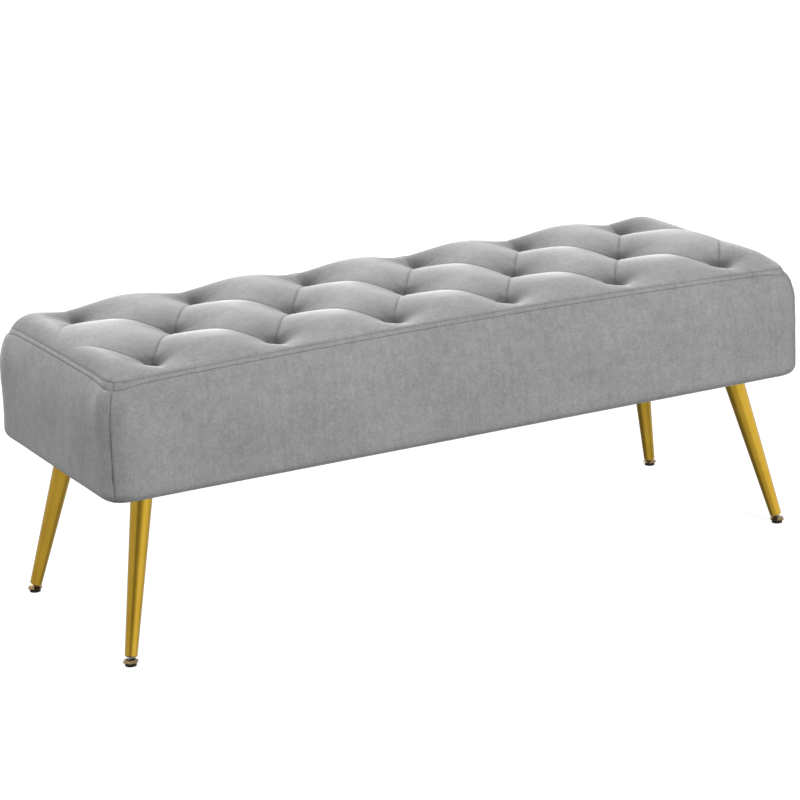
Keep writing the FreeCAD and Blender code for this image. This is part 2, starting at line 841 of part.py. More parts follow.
doc.recompute()
for feature in doc.Objects:
    for state in feature.State:
        if state in ("Invalid", "Error"):
            raise RuntimeError(f"{feature.Label} did not compute")
for label, feature in nodes.items():
    if feature.Shape.isNull() or not feature.Shape.isValid() or not feature.Shape.Solids:
        raise RuntimeError(f"{label} has no sound shape")

os.makedirs("parts", exist_ok=True)
for label, feature in nodes.items():
    feature.Shape.exportStep(f"parts/{label}.step")
    print(label, len(feature.Shape.Solids), round(feature.Shape.Volume))
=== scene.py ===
# %% [markdown]
# A tufted ottoman
#
# The real piece is a wooden box on four splayed metal legs, padded and covered in grey velvet.
# Its top is drawn down by blind tufts into diamond puffs, and four velvet boxing panels close
# its sides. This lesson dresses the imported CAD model: the rigid pieces keep their CAD shape
# and get a finish, and the soft pieces are made anew over the solids that they replace.

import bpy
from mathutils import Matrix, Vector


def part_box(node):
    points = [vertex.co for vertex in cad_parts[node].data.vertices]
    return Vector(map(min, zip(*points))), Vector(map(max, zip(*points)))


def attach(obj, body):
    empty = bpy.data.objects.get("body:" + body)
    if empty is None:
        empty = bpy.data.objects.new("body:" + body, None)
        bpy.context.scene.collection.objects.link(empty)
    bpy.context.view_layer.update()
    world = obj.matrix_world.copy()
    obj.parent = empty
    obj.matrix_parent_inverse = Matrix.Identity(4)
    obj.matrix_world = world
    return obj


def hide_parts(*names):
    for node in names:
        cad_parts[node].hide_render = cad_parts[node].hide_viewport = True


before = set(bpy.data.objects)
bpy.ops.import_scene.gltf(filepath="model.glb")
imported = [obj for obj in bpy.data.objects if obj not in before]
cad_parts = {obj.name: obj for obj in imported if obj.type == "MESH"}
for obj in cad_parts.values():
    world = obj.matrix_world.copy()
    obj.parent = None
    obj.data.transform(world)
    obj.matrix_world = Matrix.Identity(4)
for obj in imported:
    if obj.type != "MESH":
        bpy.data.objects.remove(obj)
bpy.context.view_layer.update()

# %% Tools and units
import math

import bmesh
import bpy
import numpy as np
from mathutils import Matrix, Vector

MM = 0.001
scene = bpy.context.scene

# %% [markdown]
# The camera comes first, so that every later choice can be judged from the photograph's place.
# A product photograph like this one is taken with a long lens from a little above the seat.
# The camera is set by its azimuth, elevation, roll and distance round a point on the box,
# because those few numbers are easy to read and to correct, unlike a bare matrix.

# %% Place the camera
CAMERA_TURNS = (-27.912, 16.191, -2.082)  # azimuth, elevation and roll in degrees
CAMERA_DISTANCE = 4.3130
CAMERA_TARGET = Vector((-0.0147, 0, 0.2527))
FOCAL_PIXELS, IMAGE_PIXELS, SENSOR_MM = 2846.17, 800, 36
FAR_CLIP = 60

azimuth, elevation, roll = (math.radians(v) for v in CAMERA_TURNS)
backwards = Vector((
    math.sin(azimuth) * math.cos(elevation),
    -math.cos(azimuth) * math.cos(elevation),
    math.sin(elevation),
))
level_right = (-backwards).cross(Vector((0, 0, 1))).normalized()
level_up = level_right.cross(-backwards)
camera_x = math.cos(roll) * level_right + math.sin(roll) * level_up
camera_y = -math.sin(roll) * level_right + math.cos(roll) * level_up

camera_data = bpy.data.cameras.new("studio_camera")
camera_data.sensor_width = SENSOR_MM
camera_data.lens = SENSOR_MM * FOCAL_PIXELS / IMAGE_PIXELS
camera_data.clip_end = FAR_CLIP
camera = bpy.data.objects.new("studio_camera", camera_data)
scene.collection.objects.link(camera)
place = CAMERA_TARGET + backwards * CAMERA_DISTANCE
rows = [[camera_x[i], camera_y[i], backwards[i], place[i]] for i in range(3)]
camera.matrix_world = Matrix([*rows, [0, 0, 0, 1]])
scene.camera = camera
print("camera at", [round(v, 3) for v in place], "lens", round(camera_data.lens, 1), "mm")

# %% [markdown]
# Node trees, of materials and of geometry alike, are written here as plain sums.
# One small class wraps a socket, so that 1 - mask or height * share adds the Math nodes,
# and one method adds any other node: its settings first, then what feeds its sockets.
# This keeps a long formula readable, where a drawn node tree would fill several screens.


# %% A wire that does sums
def math_node(operation, reflected=False):
    """A method of a wire that adds a Math node for it and the other values."""

    def method(self, *others):
        feeds = (*others, self) if reflected else (self, *others)
        return self.tree.add("ShaderNodeMath", {"operation": operation}, dict(enumerate(feeds)))

    return method


class Wire:
    """An output socket. A sum on it adds a Math node to its tree."""

    __add__ = __radd__ = math_node("ADD")
    __mul__ = __rmul__ = math_node("MULTIPLY")
    __sub__, __rsub__ = math_node("SUBTRACT"), math_node("SUBTRACT", reflected=True)
    __truediv__, __rtruediv__ = math_node("DIVIDE"), math_node("DIVIDE", reflected=True)
    __pow__, __abs__ = math_node("POWER"), math_node("ABSOLUTE")
    least, most = math_node("MINIMUM"), math_node("MAXIMUM")
    root, exponent, sine = math_node("SQRT"), math_node("EXPONENT"), math_node("SINE")
    rounded, floor, sign = math_node("ROUND"), math_node("FLOOR"), math_node("SIGN")
    less_than, angle_to = math_node("LESS_THAN"), math_node("ARCTAN2")

    def __init__(self, tree, socket):
        self.tree = tree
        self.socket = socket

    def out(self, key):
        """Another output of the same node."""
        return Wire(self.tree, self.socket.node.outputs[key])

    def fading(self, reach, power=1.0):
        """1 where this distance is 0, falling to 0 over reach."""
        return (0 - (self / reach) ** power).exponent()

    def ramp(self, low, high):
        """0 below low, 1 above high, with a smooth step between them."""
        feeds = {"Value": self, "From Min": low, "From Max": high}
        return self.tree.add("ShaderNodeMapRange", {"interpolation_type": "SMOOTHSTEP"}, feeds)

    def spread(self):
        """A noise, which keeps near its middle, spread over 0 to 1."""
        return self.ramp(0.3, 0.7)


def length_of(a, b):
    """The length of a vector whose two parts are wires."""
    return (a * a + b * b).root()


# %% A node tree that adds any node
class Tree:
    """A node tree in the making."""

    def __init__(self, tree):
        self.tree = tree
        tree.nodes.clear()

    def add(self, kind, settings=None, feeds=None, output=0):
        """Adds a node with its settings and feeds, and gives one of its outputs as a wire."""
        made = self.tree.nodes.new(kind)
        for name, value in (settings or {}).items():
            setattr(made, name, value)
        for key, value in (feeds or {}).items():
            if isinstance(value, Wire):
                self.tree.links.new(value.socket, made.inputs[key])
            else:
                made.inputs[key].default_value = value
        return Wire(self, made.outputs[output]) if made.outputs else made

    def parts(self, vector):
        """The x, y and z of a vector."""
        x = self.add("ShaderNodeSeparateXYZ", feeds={0: vector})
        return x, x.out(1), x.out(2)

    def vector(self, x, y, z):
        return self.add("ShaderNodeCombineXYZ", feeds={0: x, 1: y, 2: z})

    def noise(self, vector, scale, detail=2.0, roughness=0.5):
        feeds = {"Vector": vector, "Scale": scale, "Detail": detail, "Roughness": roughness}
        return self.add("ShaderNodeTexNoise", feeds=feeds)


# %% Geometry trees: named inputs in, a plain mesh out
def geometry_tree(name, inputs):
    """A geometry tree with an input per value. Gives the group, its Tree and an input reader."""
    group = bpy.data.node_groups.new(name, "GeometryNodeTree")
    for in_out in ("OUTPUT", "INPUT"):
        group.interface.new_socket("Geometry", in_out=in_out, socket_type="NodeSocketGeometry")
    for label, value in inputs.items():
        kind = "Material" if isinstance(value, bpy.types.Material) else "Float"
        group.interface.new_socket(label, in_out="INPUT", socket_type="NodeSocket" + kind)
    tree = Tree(group)
    return group, tree, tree.add("NodeGroupInput").out


def close_tree(tree, geometry, material):
    """Ends a geometry tree in Realize Instances and Set Material."""
    whole = tree.add("GeometryNodeRealizeInstances", feeds={0: geometry})
    painted = tree.add("GeometryNodeSetMaterial", feeds={"Geometry": whole, "Material": material})
    tree.add("NodeGroupOutput", feeds={0: painted})


def keep_result(piece):
    """Keeps what a piece's modifiers make of it as its plain mesh."""
    settled = bpy.context.evaluated_depsgraph_get()
    made = bpy.data.meshes.new_from_object(
        piece.evaluated_get(settled), preserve_all_data_layers=True, depsgraph=settled
    )
    piece.modifiers.clear()
    piece.data = made


def grow(piece, group, values):
    """Runs a geometry tree on a piece with its named values and keeps the result."""
    modifier = piece.modifiers.new(group.name, "NODES")
    modifier.node_group = group
    for item in group.interface.items_tree:
        if item.in_out == "INPUT" and item.name in values:
            modifier[item.identifier] = values[item.name]
    keep_result(piece)
    print(f"{piece.name}: {len(piece.data.vertices)} points, {len(piece.data.polygons)} faces")


print("methods of a wire:", ", ".join(v for v in dir(Wire) if not v.startswith("_")))

# %% [markdown]
# Velvet is a short dense pile. Seen straight on it shows its dyed colour, and at a grazing
# angle the tips of the pile catch the light, which the shader's sheen does. Where the pile has
# been stroked one way or the other it looks lighter or darker, in soft patches and faint
# streaks, made with noise on Object coordinates, at the real cloth's scale in metres.
# Shade is painted on it as well: a stored attribute paints it nearly black-grey in its creases,
# at its seams and round the tufts, and another paints a slope lighter where it faces +X and
# darker where it faces -X.


# %% Start a material
def label_of(word):
    """A socket's label from a keyword: base_color is Base Color."""
    return word.replace("_", " ").title().replace("Ior", "IOR")


def with_nodes(owner):
    """Gives a material or a world a node tree of its own, still empty."""
    owner.use_nodes = True
    return Tree(owner.node_tree)


def material_tree(name, **constants):
    """A new material, its Tree and its shader, whose own sockets hold the constants."""
    material = bpy.data.materials.new(name)
    tree = with_nodes(material)
    shader = tree.add("ShaderNodeBsdfPrincipled")
    for word, value in constants.items():
        shader.socket.node.inputs[label_of(word)].default_value = value
    tree.add("ShaderNodeOutputMaterial", feeds={"Surface": shader})
    return material, tree, shader.socket.node


def blend_colours(tree, share, first, second):
    """A colour between two others."""
    feeds = {0: share, 6: first, 7: second}
    return tree.add("ShaderNodeMix", {"data_type": "RGBA"}, feeds, output=2)


def feed(tree, shader, **links):
    """Links wires to the shader's sockets."""
    for word, wire in links.items():
        tree.tree.links.new(wire.socket, shader.inputs[label_of(word)])


def bump(tree, height, distance, strength):
    feeds = {"Height": height, "Distance": distance, "Strength": strength}
    return tree.add("ShaderNodeBump", feeds=feeds)


def object_place(tree):
    return tree.add("ShaderNodeTexCoord", output="Object")


def stretched(tree, scale):
    """Object coordinates, scaled along each axis so that a noise on them is drawn out."""
    return tree.add("ShaderNodeMapping", feeds={"Vector": object_place(tree), "Scale": scale})


def stored(tree, name):
    return tree.add("ShaderNodeAttribute", {"attribute_name": name}, output="Fac")


# %% Velvet
PATCHES, BRUSHED, NAP, PILE = 9, 60, 190, 520  # how fine each layer of the pattern is, per metre
# The last of these is the near-black of the painted shade in creases, at seams and round tufts
DARK_PILE, LIGHT_PILE, PAINTED_SHADE_TONE = 0.2, 0.39, (0.03, 0.03, 0.032, 1)
SHEEN_TINT = (0.93, 0.94, 0.96, 1)
PILE_DEPTH = 0.5 * MM


def velvet(name, tone, sheen, streak_scale, streak_share):
    """Grey velvet, with painted shade from two stored attributes: near-black in creases, at seams
    and round tufts, and lighter or darker by which way a slope faces.
    """
    material, tree, shader = material_tree(
        name,
        specular_ior_level=0.12,
        sheen_weight=sheen,
        sheen_roughness=0.38,
        sheen_tint=SHEEN_TINT,
    )
    place = object_place(tree)
    patches = tree.noise(place, PATCHES, 3, 0.55).ramp(0.34, 0.66)
    brushed = tree.noise(place, BRUSHED, 4, 0.62).spread()
    nap = tree.noise(place, NAP, 3, 0.6).spread()
    streaks = tree.noise(stretched(tree, streak_scale), 1, 3, 0.6).spread()
    pile = tree.noise(place, PILE, 4, 0.7)
    # The shares of the five layers add up to 1, and a painted slope shade shifts them all: lighter
    # where a slope faces +X, darker where it faces -X
    shade = patches * 0.13 + brushed * 0.2 + nap * 0.2 + streaks * streak_share
    shade = shade + pile.spread() * (0.47 - streak_share) + 1.1 * stored(tree, "lean")
    dark, light = [(v * tone, v * tone, v * tone * 1.004, 1) for v in (DARK_PILE, LIGHT_PILE)]
    cloth = blend_colours(tree, shade, dark, light)
    # Painted shade: the stored attribute darkens the cloth towards near-black in creases, at seams
    # and round tufts
    folded = (stored(tree, "fold") ** 2 * 0.9).least(0.9)
    feed(
        tree,
        shader,
        base_color=blend_colours(tree, folded, cloth, PAINTED_SHADE_TONE),
        roughness=0.78 + 0.14 * brushed,
        normal=bump(tree, pile, PILE_DEPTH, 0.5),
    )
    return material


# The top's cloth is 3 % lighter than the boxing's: painted light on the top
velvet_top_cloth = velvet("velvet_top_cloth", 1.03, 0.6, (55, 55, 20), 0.1)
velvet_face_cloth = velvet("velvet_face_cloth", 1.0, 0.55, (150, 150, 9), 0.12)
print("velvets:", velvet_top_cloth.name, velvet_face_cloth.name)

# %% [markdown]
# Many small pieces need only a plain finish: black plastic, rubber, steel, thread, foam. None
# of them is one flat colour on the real object, so one function gives each a fine uneven grain
# in its colour, its gloss and its surface, at a scale of its own.


# %% Plain finishes
def speckled(name, dark, light, roughness, metallic, scale, depth=0.1 * MM):
    """A plain finish with a fine uneven grain in its colour, gloss and surface."""
    material, tree, shader = material_tree(name, metallic=metallic)
    fine = tree.noise(object_place(tree), scale, 4, 0.6)
    broad = tree.noise(object_place(tree), scale / 16, 2)
    mixed = (fine * 0.6 + broad * 0.4).spread()
    feed(
        tree,
        shader,
        base_color=blend_colours(tree, mixed, (*dark, 1), (*light, 1)),
        roughness=roughness * (0.85 + 0.3 * mixed),
        normal=bump(tree, fine, depth, 0.4),
    )
    return material


# Dark tone, light tone, roughness, metallic, grain per metre and, where it is coarse, its depth
PLAIN_FINISHES = {
    "bronze_zinc": ((0.33, 0.22, 0.09), (0.56, 0.42, 0.22), 0.34, 1.0, 420),
    "bright_steel": ((0.42, 0.42, 0.43), (0.56, 0.56, 0.57), 0.3, 1.0, 700),
    "black_steel": ((0.012, 0.012, 0.013), (0.03, 0.03, 0.031), 0.45, 0.0, 600),
    "black_plastic": ((0.014, 0.014, 0.015), (0.028, 0.028, 0.029), 0.5, 0.0, 900),
    "black_rubber": ((0.010, 0.010, 0.011), (0.022, 0.022, 0.023), 0.75, 0.0, 500),
    "white_plastic": ((0.6, 0.59, 0.55), (0.7, 0.69, 0.66), 0.4, 0.0, 400),
    "sewing_thread": ((0.07, 0.07, 0.072), (0.15, 0.15, 0.154), 0.8, 0.0, 2600),
    "tie_cord": ((0.42, 0.41, 0.38), (0.62, 0.61, 0.57), 0.85, 0.0, 2200),
    "foam": ((0.62, 0.55, 0.36), (0.76, 0.70, 0.50), 0.95, 0.0, 700, 0.6 * MM),
    "black_cover": ((0.011, 0.011, 0.012), (0.034, 0.034, 0.036), 0.9, 0.0, 1300, 0.2 * MM),
}
finishes = {name: speckled(name, *row) for name, row in PLAIN_FINISHES.items()}
print("plain finishes:", ", ".join(finishes))

# %% [markdown]
# The tufted top is the main piece and follows a rule. Seventeen tufts stand in rows of six,
# five and six on a diamond lattice, and the cloth is pleated in straight creases between them.
# So its height can be written as a sum over two numbers: how far a point is from the nearest
# crease of each slant. A flat grid, whose quads are split along the creases, is lifted by that
# sum in a geometry tree. The same sum says where shade is painted on the velvet, in the creases
# and round the tufts, and where it is held, for the cloth simulation that follows.

# %% The sizes of the top
TUFT_PITCH, ROW_OFFSET = 190 * MM, 138 * MM
HALF_LENGTH, HALF_WIDTH = 561 * MM, 195 * MM
LATTICE_STEPS = 24  # grid steps from a tuft row to the next
SEAM_LEVEL = 415 * MM
SEAM_CORNER = 26 * MM
BACK_ARCH, FRONT_ARCH, END_LIFT = 3.2 * MM, 9.2 * MM, 2.5 * MM  # the bow of the seam
FADE_FROM, FADE_TO = 518 * MM, 562 * MM  # where the creases fade out
x_step, y_step = TUFT_PITCH / (2 * LATTICE_STEPS), ROW_OFFSET / LATTICE_STEPS

# Beyond the lattice the lines of the grid draw closer together towards the seam
near_seam_x = [v * MM for v in (559.2, 560.2, 561)]
near_seam_y = [ROW_OFFSET + k * 5.7 * MM for k in range(1, 10)]
near_seam_y += [v * MM for v in (191.6, 193.2, 194.3, 195)]
lattice_columns, lattice_rows = 141, LATTICE_STEPS
grid_x = [-v for v in reversed(near_seam_x)]
grid_x += [i * x_step for i in range(-lattice_columns, lattice_columns + 1)] + near_seam_x
grid_y = [-v for v in reversed(near_seam_y)]
grid_y += [j * y_step for j in range(-lattice_rows, lattice_rows + 1)] + near_seam_y
print("grid:", len(grid_x), "by", len(grid_y), "points,", round(x_step / MM, 2), "mm apart along X")


# %% Cut the grid along the creases
def split_of(column, row):
    """Which diagonal of a quad lies on a crease: 'rising', 'falling' or None."""
    i = column - len(near_seam_x) - lattice_columns
    j = row - len(near_seam_y) - lattice_rows
    if not (-lattice_columns <= i < lattice_columns and -lattice_rows <= j < lattice_rows):
        return None
    if (i - j) % (2 * LATTICE_STEPS) == 0:
        return "rising"
    if (i + 1 + j) % (2 * LATTICE_STEPS) == 0:
        return "falling"
    return None


columns = len(grid_x)
grid_points = [(x, y, SEAM_LEVEL) for y in grid_y for x in grid_x]
grid_faces, crease_edges = [], set()
for row in range(len(grid_y) - 1):
    for column in range(columns - 1):
        a = row * columns + column
        b, c, d = a + 1, a + columns + 1, a + columns
        split = split_of(column, row)
        if split == "rising":
            grid_faces += [(a, b, c), (a, c, d)]
            crease_edges.add((a, c))
        elif split == "falling":
            grid_faces += [(a, b, d), (b, c, d)]
            crease_edges.add((b, d))
        else:
            grid_faces.append((a, b, c, d))
print("faces:", len(grid_faces), "creased edges:", len(crease_edges))


# %% Make a piece from points and faces
def piece_of(name, points, faces, material, smooth=True):
    """A mesh object at the origin, with its place in its points."""
    mesh = bpy.data.meshes.new(name)
    mesh.from_pydata([tuple(p) for p in points], [], faces)
    mesh.materials.append(material)
    mesh.shade_smooth() if smooth else mesh.shade_flat()
    piece = bpy.data.objects.new(name, mesh)
    scene.collection.objects.link(piece)
    return piece


def rectangle(half_x, half_y, z):
    """The corners of a level rectangle round the origin."""
    return [(half_x * i, half_y * j, z) for i, j in ((-1, -1), (1, -1), (1, 1), (-1, 1))]


def reshape(piece, work=None):
    """Lets a function work on a piece's mesh, then turns all its faces outwards."""
    net = bmesh.new()
    net.from_mesh(piece.data)
    if work:
        work(net)
    bmesh.ops.recalc_face_normals(net, faces=net.faces)
    net.to_mesh(piece.data)
    net.free()
    print(f"{piece.name}: {len(piece.data.polygons)} faces")


velvet_top = piece_of("velvet_top", grid_points, grid_faces, velvet_top_cloth)

# %% [markdown]
# The tree below reads a point's x and y and gives its height. Seen from the side, the top is a
# soft landscape: each tuft draws a wide hollow round itself, with slopes so gentle that one can
# look into it from the front, and in its middle is a small deep pit where the tie holds the
# cloth. Along the creases runs a shallow valley, and the puffs between them are slightly domed.
# Small puckers fan out from each pit, and towards the seam the whole surface falls away.

# %% The tufting rule as a geometry tree
TUFTING = {
    "Tuft Pitch": TUFT_PITCH, "Row Offset": ROW_OFFSET,
    "Half Length": HALF_LENGTH, "Half Width": HALF_WIDTH,
    "Seam Level": SEAM_LEVEL, "Seam Corner": SEAM_CORNER,
    "Puff Level": 436.6 * MM, "Puff Dome": 6.1 * MM,
    "Crease Depth": 3.4 * MM, "Crease Reach": 19 * MM,
    "Hollow Depth": 16.4 * MM, "Hollow Reach": 57 * MM, "Hollow Stretch": 1.15,
    "Pull X": 2.6 * MM, "Pull Y": 6 * MM,
    "Pit Depth": 12 * MM, "Pit Reach": 11 * MM, "Edge Reach": 64 * MM,
    "Pucker": 0.7 * MM, "Unevenness": 1.2 * MM, "Cloth": velvet_top_cloth,
}
tufting, tree, given = geometry_tree("tufting", TUFTING)
pitch, offset = given("Tuft Pitch"), given("Row Offset")
half_length, half_width = given("Half Length"), given("Half Width")
position = tree.add("GeometryNodeInputPosition")
x, y, _ = tree.parts(position)
away_x, away_y = abs(x), abs(y)

# Distances to the nearest crease of each slant, measured round the tuft beyond the outer rows
beyond_row = (away_y - offset).most(0)
row_y = y.most(0 - offset).least(offset)
crease_spacing = 1 / (1 / (pitch * pitch) + 1 / (4 * offset * offset)).root()


def from_crease(lattice_number):
    across = abs(lattice_number - lattice_number.rounded()) * crease_spacing
    return length_of(across, beyond_row)


from_rising = from_crease(x / pitch - row_y / (2 * offset))
from_falling = from_crease(x / pitch + row_y / (2 * offset))


def tuft_offsets(px, py):
    """Offsets along X to the nearest tuft of an outer row and of the middle row, and along Y."""
    outer = px - ((px / pitch).floor() + 0.5) * pitch
    middle = px - (px / pitch).rounded().least(2).most(-2) * pitch
    return outer, middle, abs(py) - offset


outer_x, middle_x, outer_y = tuft_offsets(x, y)
from_outer = length_of(outer_x, outer_y)
from_middle = length_of(middle_x, y)
from_tuft = from_outer.least(from_middle)

# %% Puffs, creases, hollows and pits
# The last creases fade towards the ends, where the cloth has no tuft to be pleated to.
end_fade = 1 - 0.8 * away_x.ramp(FADE_FROM, FADE_TO)


def domed(distance):
    share = (distance * 2 / crease_spacing).least(1)
    return 1 - (1 - share) ** 2 * end_fade


dome = domed(from_rising) * domed(from_falling) * given("Puff Dome")
crease_reach = given("Crease Reach")
# The creases that rise to the right are narrower and shallower than the falling ones
valley = (from_rising.fading(crease_reach / 2) * 0.65).most(from_falling.fading(crease_reach))
valley = valley * end_fade * given("Crease Depth")

# The ties pull a little towards the back, so the hollow's middle lies in front of its pit
pulled_y = y + given("Pull Y")
hollow_outer, hollow_middle, hollow_y = tuft_offsets(x + given("Pull X"), pulled_y)
stretch = given("Hollow Stretch")


def hollow_round(dx, dy):
    reach = ((dx * stretch) ** 2 + (dy / stretch) ** 2).root()
    return reach.fading(given("Hollow Reach"), 2.0)


hollow = hollow_round(hollow_outer, hollow_y) + hollow_round(hollow_middle, pulled_y)
hollow = hollow * given("Hollow Depth")
pit = from_tuft.fading(given("Pit Reach"), 2.0) * given("Pit Depth")

# A short crease runs from each outer tuft towards the seam
SHORT_CREASE_DEPTH, SHORT_CREASE_REACH = 6 * MM, 10 * MM
short_crease = abs(outer_x).fading(SHORT_CREASE_REACH, 1.2) * beyond_row.ramp(2 * MM, 14 * MM)
short_crease = short_crease * (1 - 0.6 * beyond_row.ramp(10 * MM, 57 * MM)) * SHORT_CREASE_DEPTH

# Puckers that fan out from a pit, and the slow unevenness of hand-stuffed wadding
PUCKER_FOLDS, PUCKER_RADIUS, PUCKER_REACH = 13, 19 * MM, 11 * MM
is_outer = from_outer.less_than(from_middle)
tuft_dx = outer_x * is_outer + middle_x * (1 - is_outer)
tuft_dy = outer_y * is_outer + away_y * (1 - is_outer)
turn = tuft_dy.angle_to(tuft_dx)
fan = (turn * PUCKER_FOLDS + tree.noise(position, 14, 1) * 14).sine()
puckers = fan * abs(from_tuft - PUCKER_RADIUS).fading(PUCKER_REACH, 2.0) * given("Pucker")
uneven = (tree.noise(position, 8.5, 2, 0.5) - 0.5) * 2 * given("Unevenness")
top_level = given("Puff Level") + dome - valley - hollow - pit - short_crease + puckers + uneven

# %% The fall to the seam
# The seam is bowed upwards, most of all in front, and the cloth is tucked in and gathered at it.
from_end, from_side = half_length - away_x, half_width - away_y
edge_reach = given("Edge Reach")


def rising_from_seam(distance, power):
    share = (distance / edge_reach).least(1).most(0)
    return 1 - (1 - share) ** power


def seam_arch(share_x, share_y, to_front):
    """How far the seam is bowed upwards, worked out for wires and for plain numbers alike."""
    back, front = (1 - share_x**4) * BACK_ARCH, (1 - share_x**1.85) * FRONT_ARCH
    return back + (front - back) * to_front + (1 - share_y**3) * share_x**4 * END_LIFT


SEAM_TUCK, TUCK_REACH = 2 * MM, 1.5 * MM
GATHER_HEIGHT, GATHER_REACH = 2.2 * MM, 12 * MM
share_x, share_y = away_x / half_length, away_y / half_width
to_front = 0.5 - y / (2 * half_width)
# The cloth rises most steeply from the ends and the back, and most gently in front
side_power = 1.85 + 2.2 * (1 - to_front) ** 2
rise = rising_from_seam(from_end, 3.0) * rising_from_seam(from_side, side_power)
seam_level = given("Seam Level") + seam_arch(share_x, share_y, to_front)
from_seam = from_end.least(from_side)
near_seam = from_seam.most(0)
tuck = near_seam.fading(TUCK_REACH) * SEAM_TUCK
gathers = (tree.noise(position, 70, 2, 0.6) - 0.5) * GATHER_HEIGHT * near_seam.fading(GATHER_REACH)
height = seam_level + rise * (top_level - seam_level) - tuck
height = height + gathers * (from_seam / (3 * MM)).least(1)

# %% Round the corners of the seam, and store the painted shade and where the cloth is held
corner = given("Seam Corner")
inner_x, inner_y = half_length - corner, half_width - corner
share_x = ((away_x - inner_x) / corner).most(0).least(1)
share_y = ((away_y - inner_y) / corner).most(0).least(1)
round_x = away_x.least(inner_x) + corner * share_x * (1 - share_y * share_y / 2).root()
round_y = away_y.least(inner_y) + corner * share_y * (1 - share_x * share_x / 2).root()
placed = tree.vector(round_x * x.sign(), round_y * y.sign(), height)

# Painted shade: dark lines in the creases and at the seam, and a broad shade round each tuft and
# along the creases
CREASE_SHADE_WIDTH, SHORT_CREASE_SHADE_WIDTH, SEAM_SHADE_WIDTH = 1.3 * MM, 1.9 * MM, 0.9 * MM
SHADE_REACH, VALLEY_SHADE_REACH = 70 * MM, 12 * MM
from_either = from_rising.least(from_falling)
in_row = 1 - beyond_row.ramp(0, 8 * MM)
painted_crease_line = from_rising.fading(CREASE_SHADE_WIDTH).most(from_falling.fading(CREASE_SHADE_WIDTH)) * 0.92
painted_crease_line = painted_crease_line * end_fade * in_row
painted_short_line = abs(outer_x).fading(SHORT_CREASE_SHADE_WIDTH) * (1 - in_row)
painted_short_line = painted_short_line * (1 - beyond_row.ramp(14 * MM, 50 * MM))
painted_crease_line = painted_crease_line.most(painted_short_line * 0.9)
# The painted shade reaches further behind a tuft than in front of it
shade_y = outer_y * y.sign() * is_outer + y * (1 - is_outer)
shade_y = shade_y.most(0) + shade_y.least(0) * 1.6
painted_broad_shade = (length_of(tuft_dx, shade_y).fading(SHADE_REACH) * 1.1).least(0.84)
painted_broad_shade = painted_broad_shade.most(from_either.fading(VALLEY_SHADE_REACH) * 0.3 * end_fade)
fold = painted_crease_line.most(painted_broad_shade) * rise.ramp(0.0, 0.3)
fold = fold.most(near_seam.fading(SEAM_SHADE_WIDTH) * 0.4)
held = from_either.fading(1 * MM, 4.0) * end_fade * (1 - beyond_row.ramp(0, 4 * MM))
held = held.most(near_seam.fading(5 * MM, 4.0)).most(from_tuft.fading(7 * MM, 4.0))


def store(geometry, name, value):
    settings = {"data_type": "FLOAT", "domain": "POINT"}
    feeds = {"Geometry": geometry, "Name": name, "Value": value}
    return tree.add("GeometryNodeStoreNamedAttribute", settings, feeds)


cloth = store(store(given("Geometry"), "fold", fold), "held", held)
lifted = tree.add("GeometryNodeSetPosition", feeds={"Geometry": cloth, "Position": placed})
# Painted shade by slope: the top is stored lighter where it faces +X and darker where it faces -X
normal_x = tree.parts(tree.add("GeometryNodeInputNormal"))[0]
close_tree(tree, store(lifted, "lean", 0.5 * normal_x), given("Cloth"))
print("tufting tree:", len(tufting.nodes), "nodes")

# %% Lift the grid
grow(velvet_top, tufting, TUFTING)


def coordinates(mesh):
    flat = np.zeros(len(mesh.vertices) * 3)
    mesh.vertices.foreach_get("co", flat)
    return flat.reshape(-1, 3)


top_levels = coordinates(velvet_top.data)[:, 2] / MM
print("top from", round(top_levels.min(), 1), "to", round(top_levels.max(), 1), "mm")

# %% [markdown]
# A written rule gives a tidy shape, but cloth over wadding is never that tidy. So the cloth is
# blown up a little against its creases, tufts and seam in Blender's cloth simulation, which
# stretches the velvet between them. Held at so many places, it moves by less than a millimetre
# here, and a cap on how far a point may move keeps the outline that of the CAD solid.


# %% Blow up a cloth
def blow_up(piece, pressure, frames, cap):
    """Runs the cloth simulation on a piece, held where its attribute held says."""
    start_points = coordinates(piece.data)
    weights = np.zeros(len(start_points))
    piece.data.attributes["held"].data.foreach_get("value", weights)
    group = piece.vertex_groups.new(name="held")
    for index, weight in enumerate(weights):
        group.add([index], min(float(weight), 1.0), "REPLACE")
    modifier = piece.modifiers.new("blow_up", "CLOTH")
    cloth = modifier.settings
    cloth.quality = 5
    cloth.mass = 0.3
    cloth.tension_stiffness = cloth.compression_stiffness = 15
    cloth.shear_stiffness = 5
    cloth.bending_stiffness = 2
    cloth.vertex_group_mass = "held"
    cloth.use_pressure = True
    cloth.uniform_pressure_force = pressure
    cloth.effector_weights.gravity = 0
    modifier.collision_settings.use_collision = False
    modifier.point_cache.frame_end = frames
    for step in range(1, frames + 1):
        scene.frame_set(step)
    settled = bpy.context.evaluated_depsgraph_get()
    moved = coordinates(piece.evaluated_get(settled).data)
    scene.frame_set(1)
    piece.modifiers.clear()
    piece.vertex_groups.clear()
    shift = moved - start_points
    length = np.linalg.norm(shift, axis=1)
    shift *= np.minimum(1, cap / np.maximum(length, 1e-9))[:, None]
    piece.data.vertices.foreach_set("co", (start_points + shift).ravel())
    piece.data.update()
    mean, most = length.mean() / MM, length.max() / MM
    print(f"{piece.name}: moved {mean:.2f} mm on average, {most:.2f} mm at most")


blow_up(velvet_top, pressure=4.0, frames=18, cap=5 * MM)


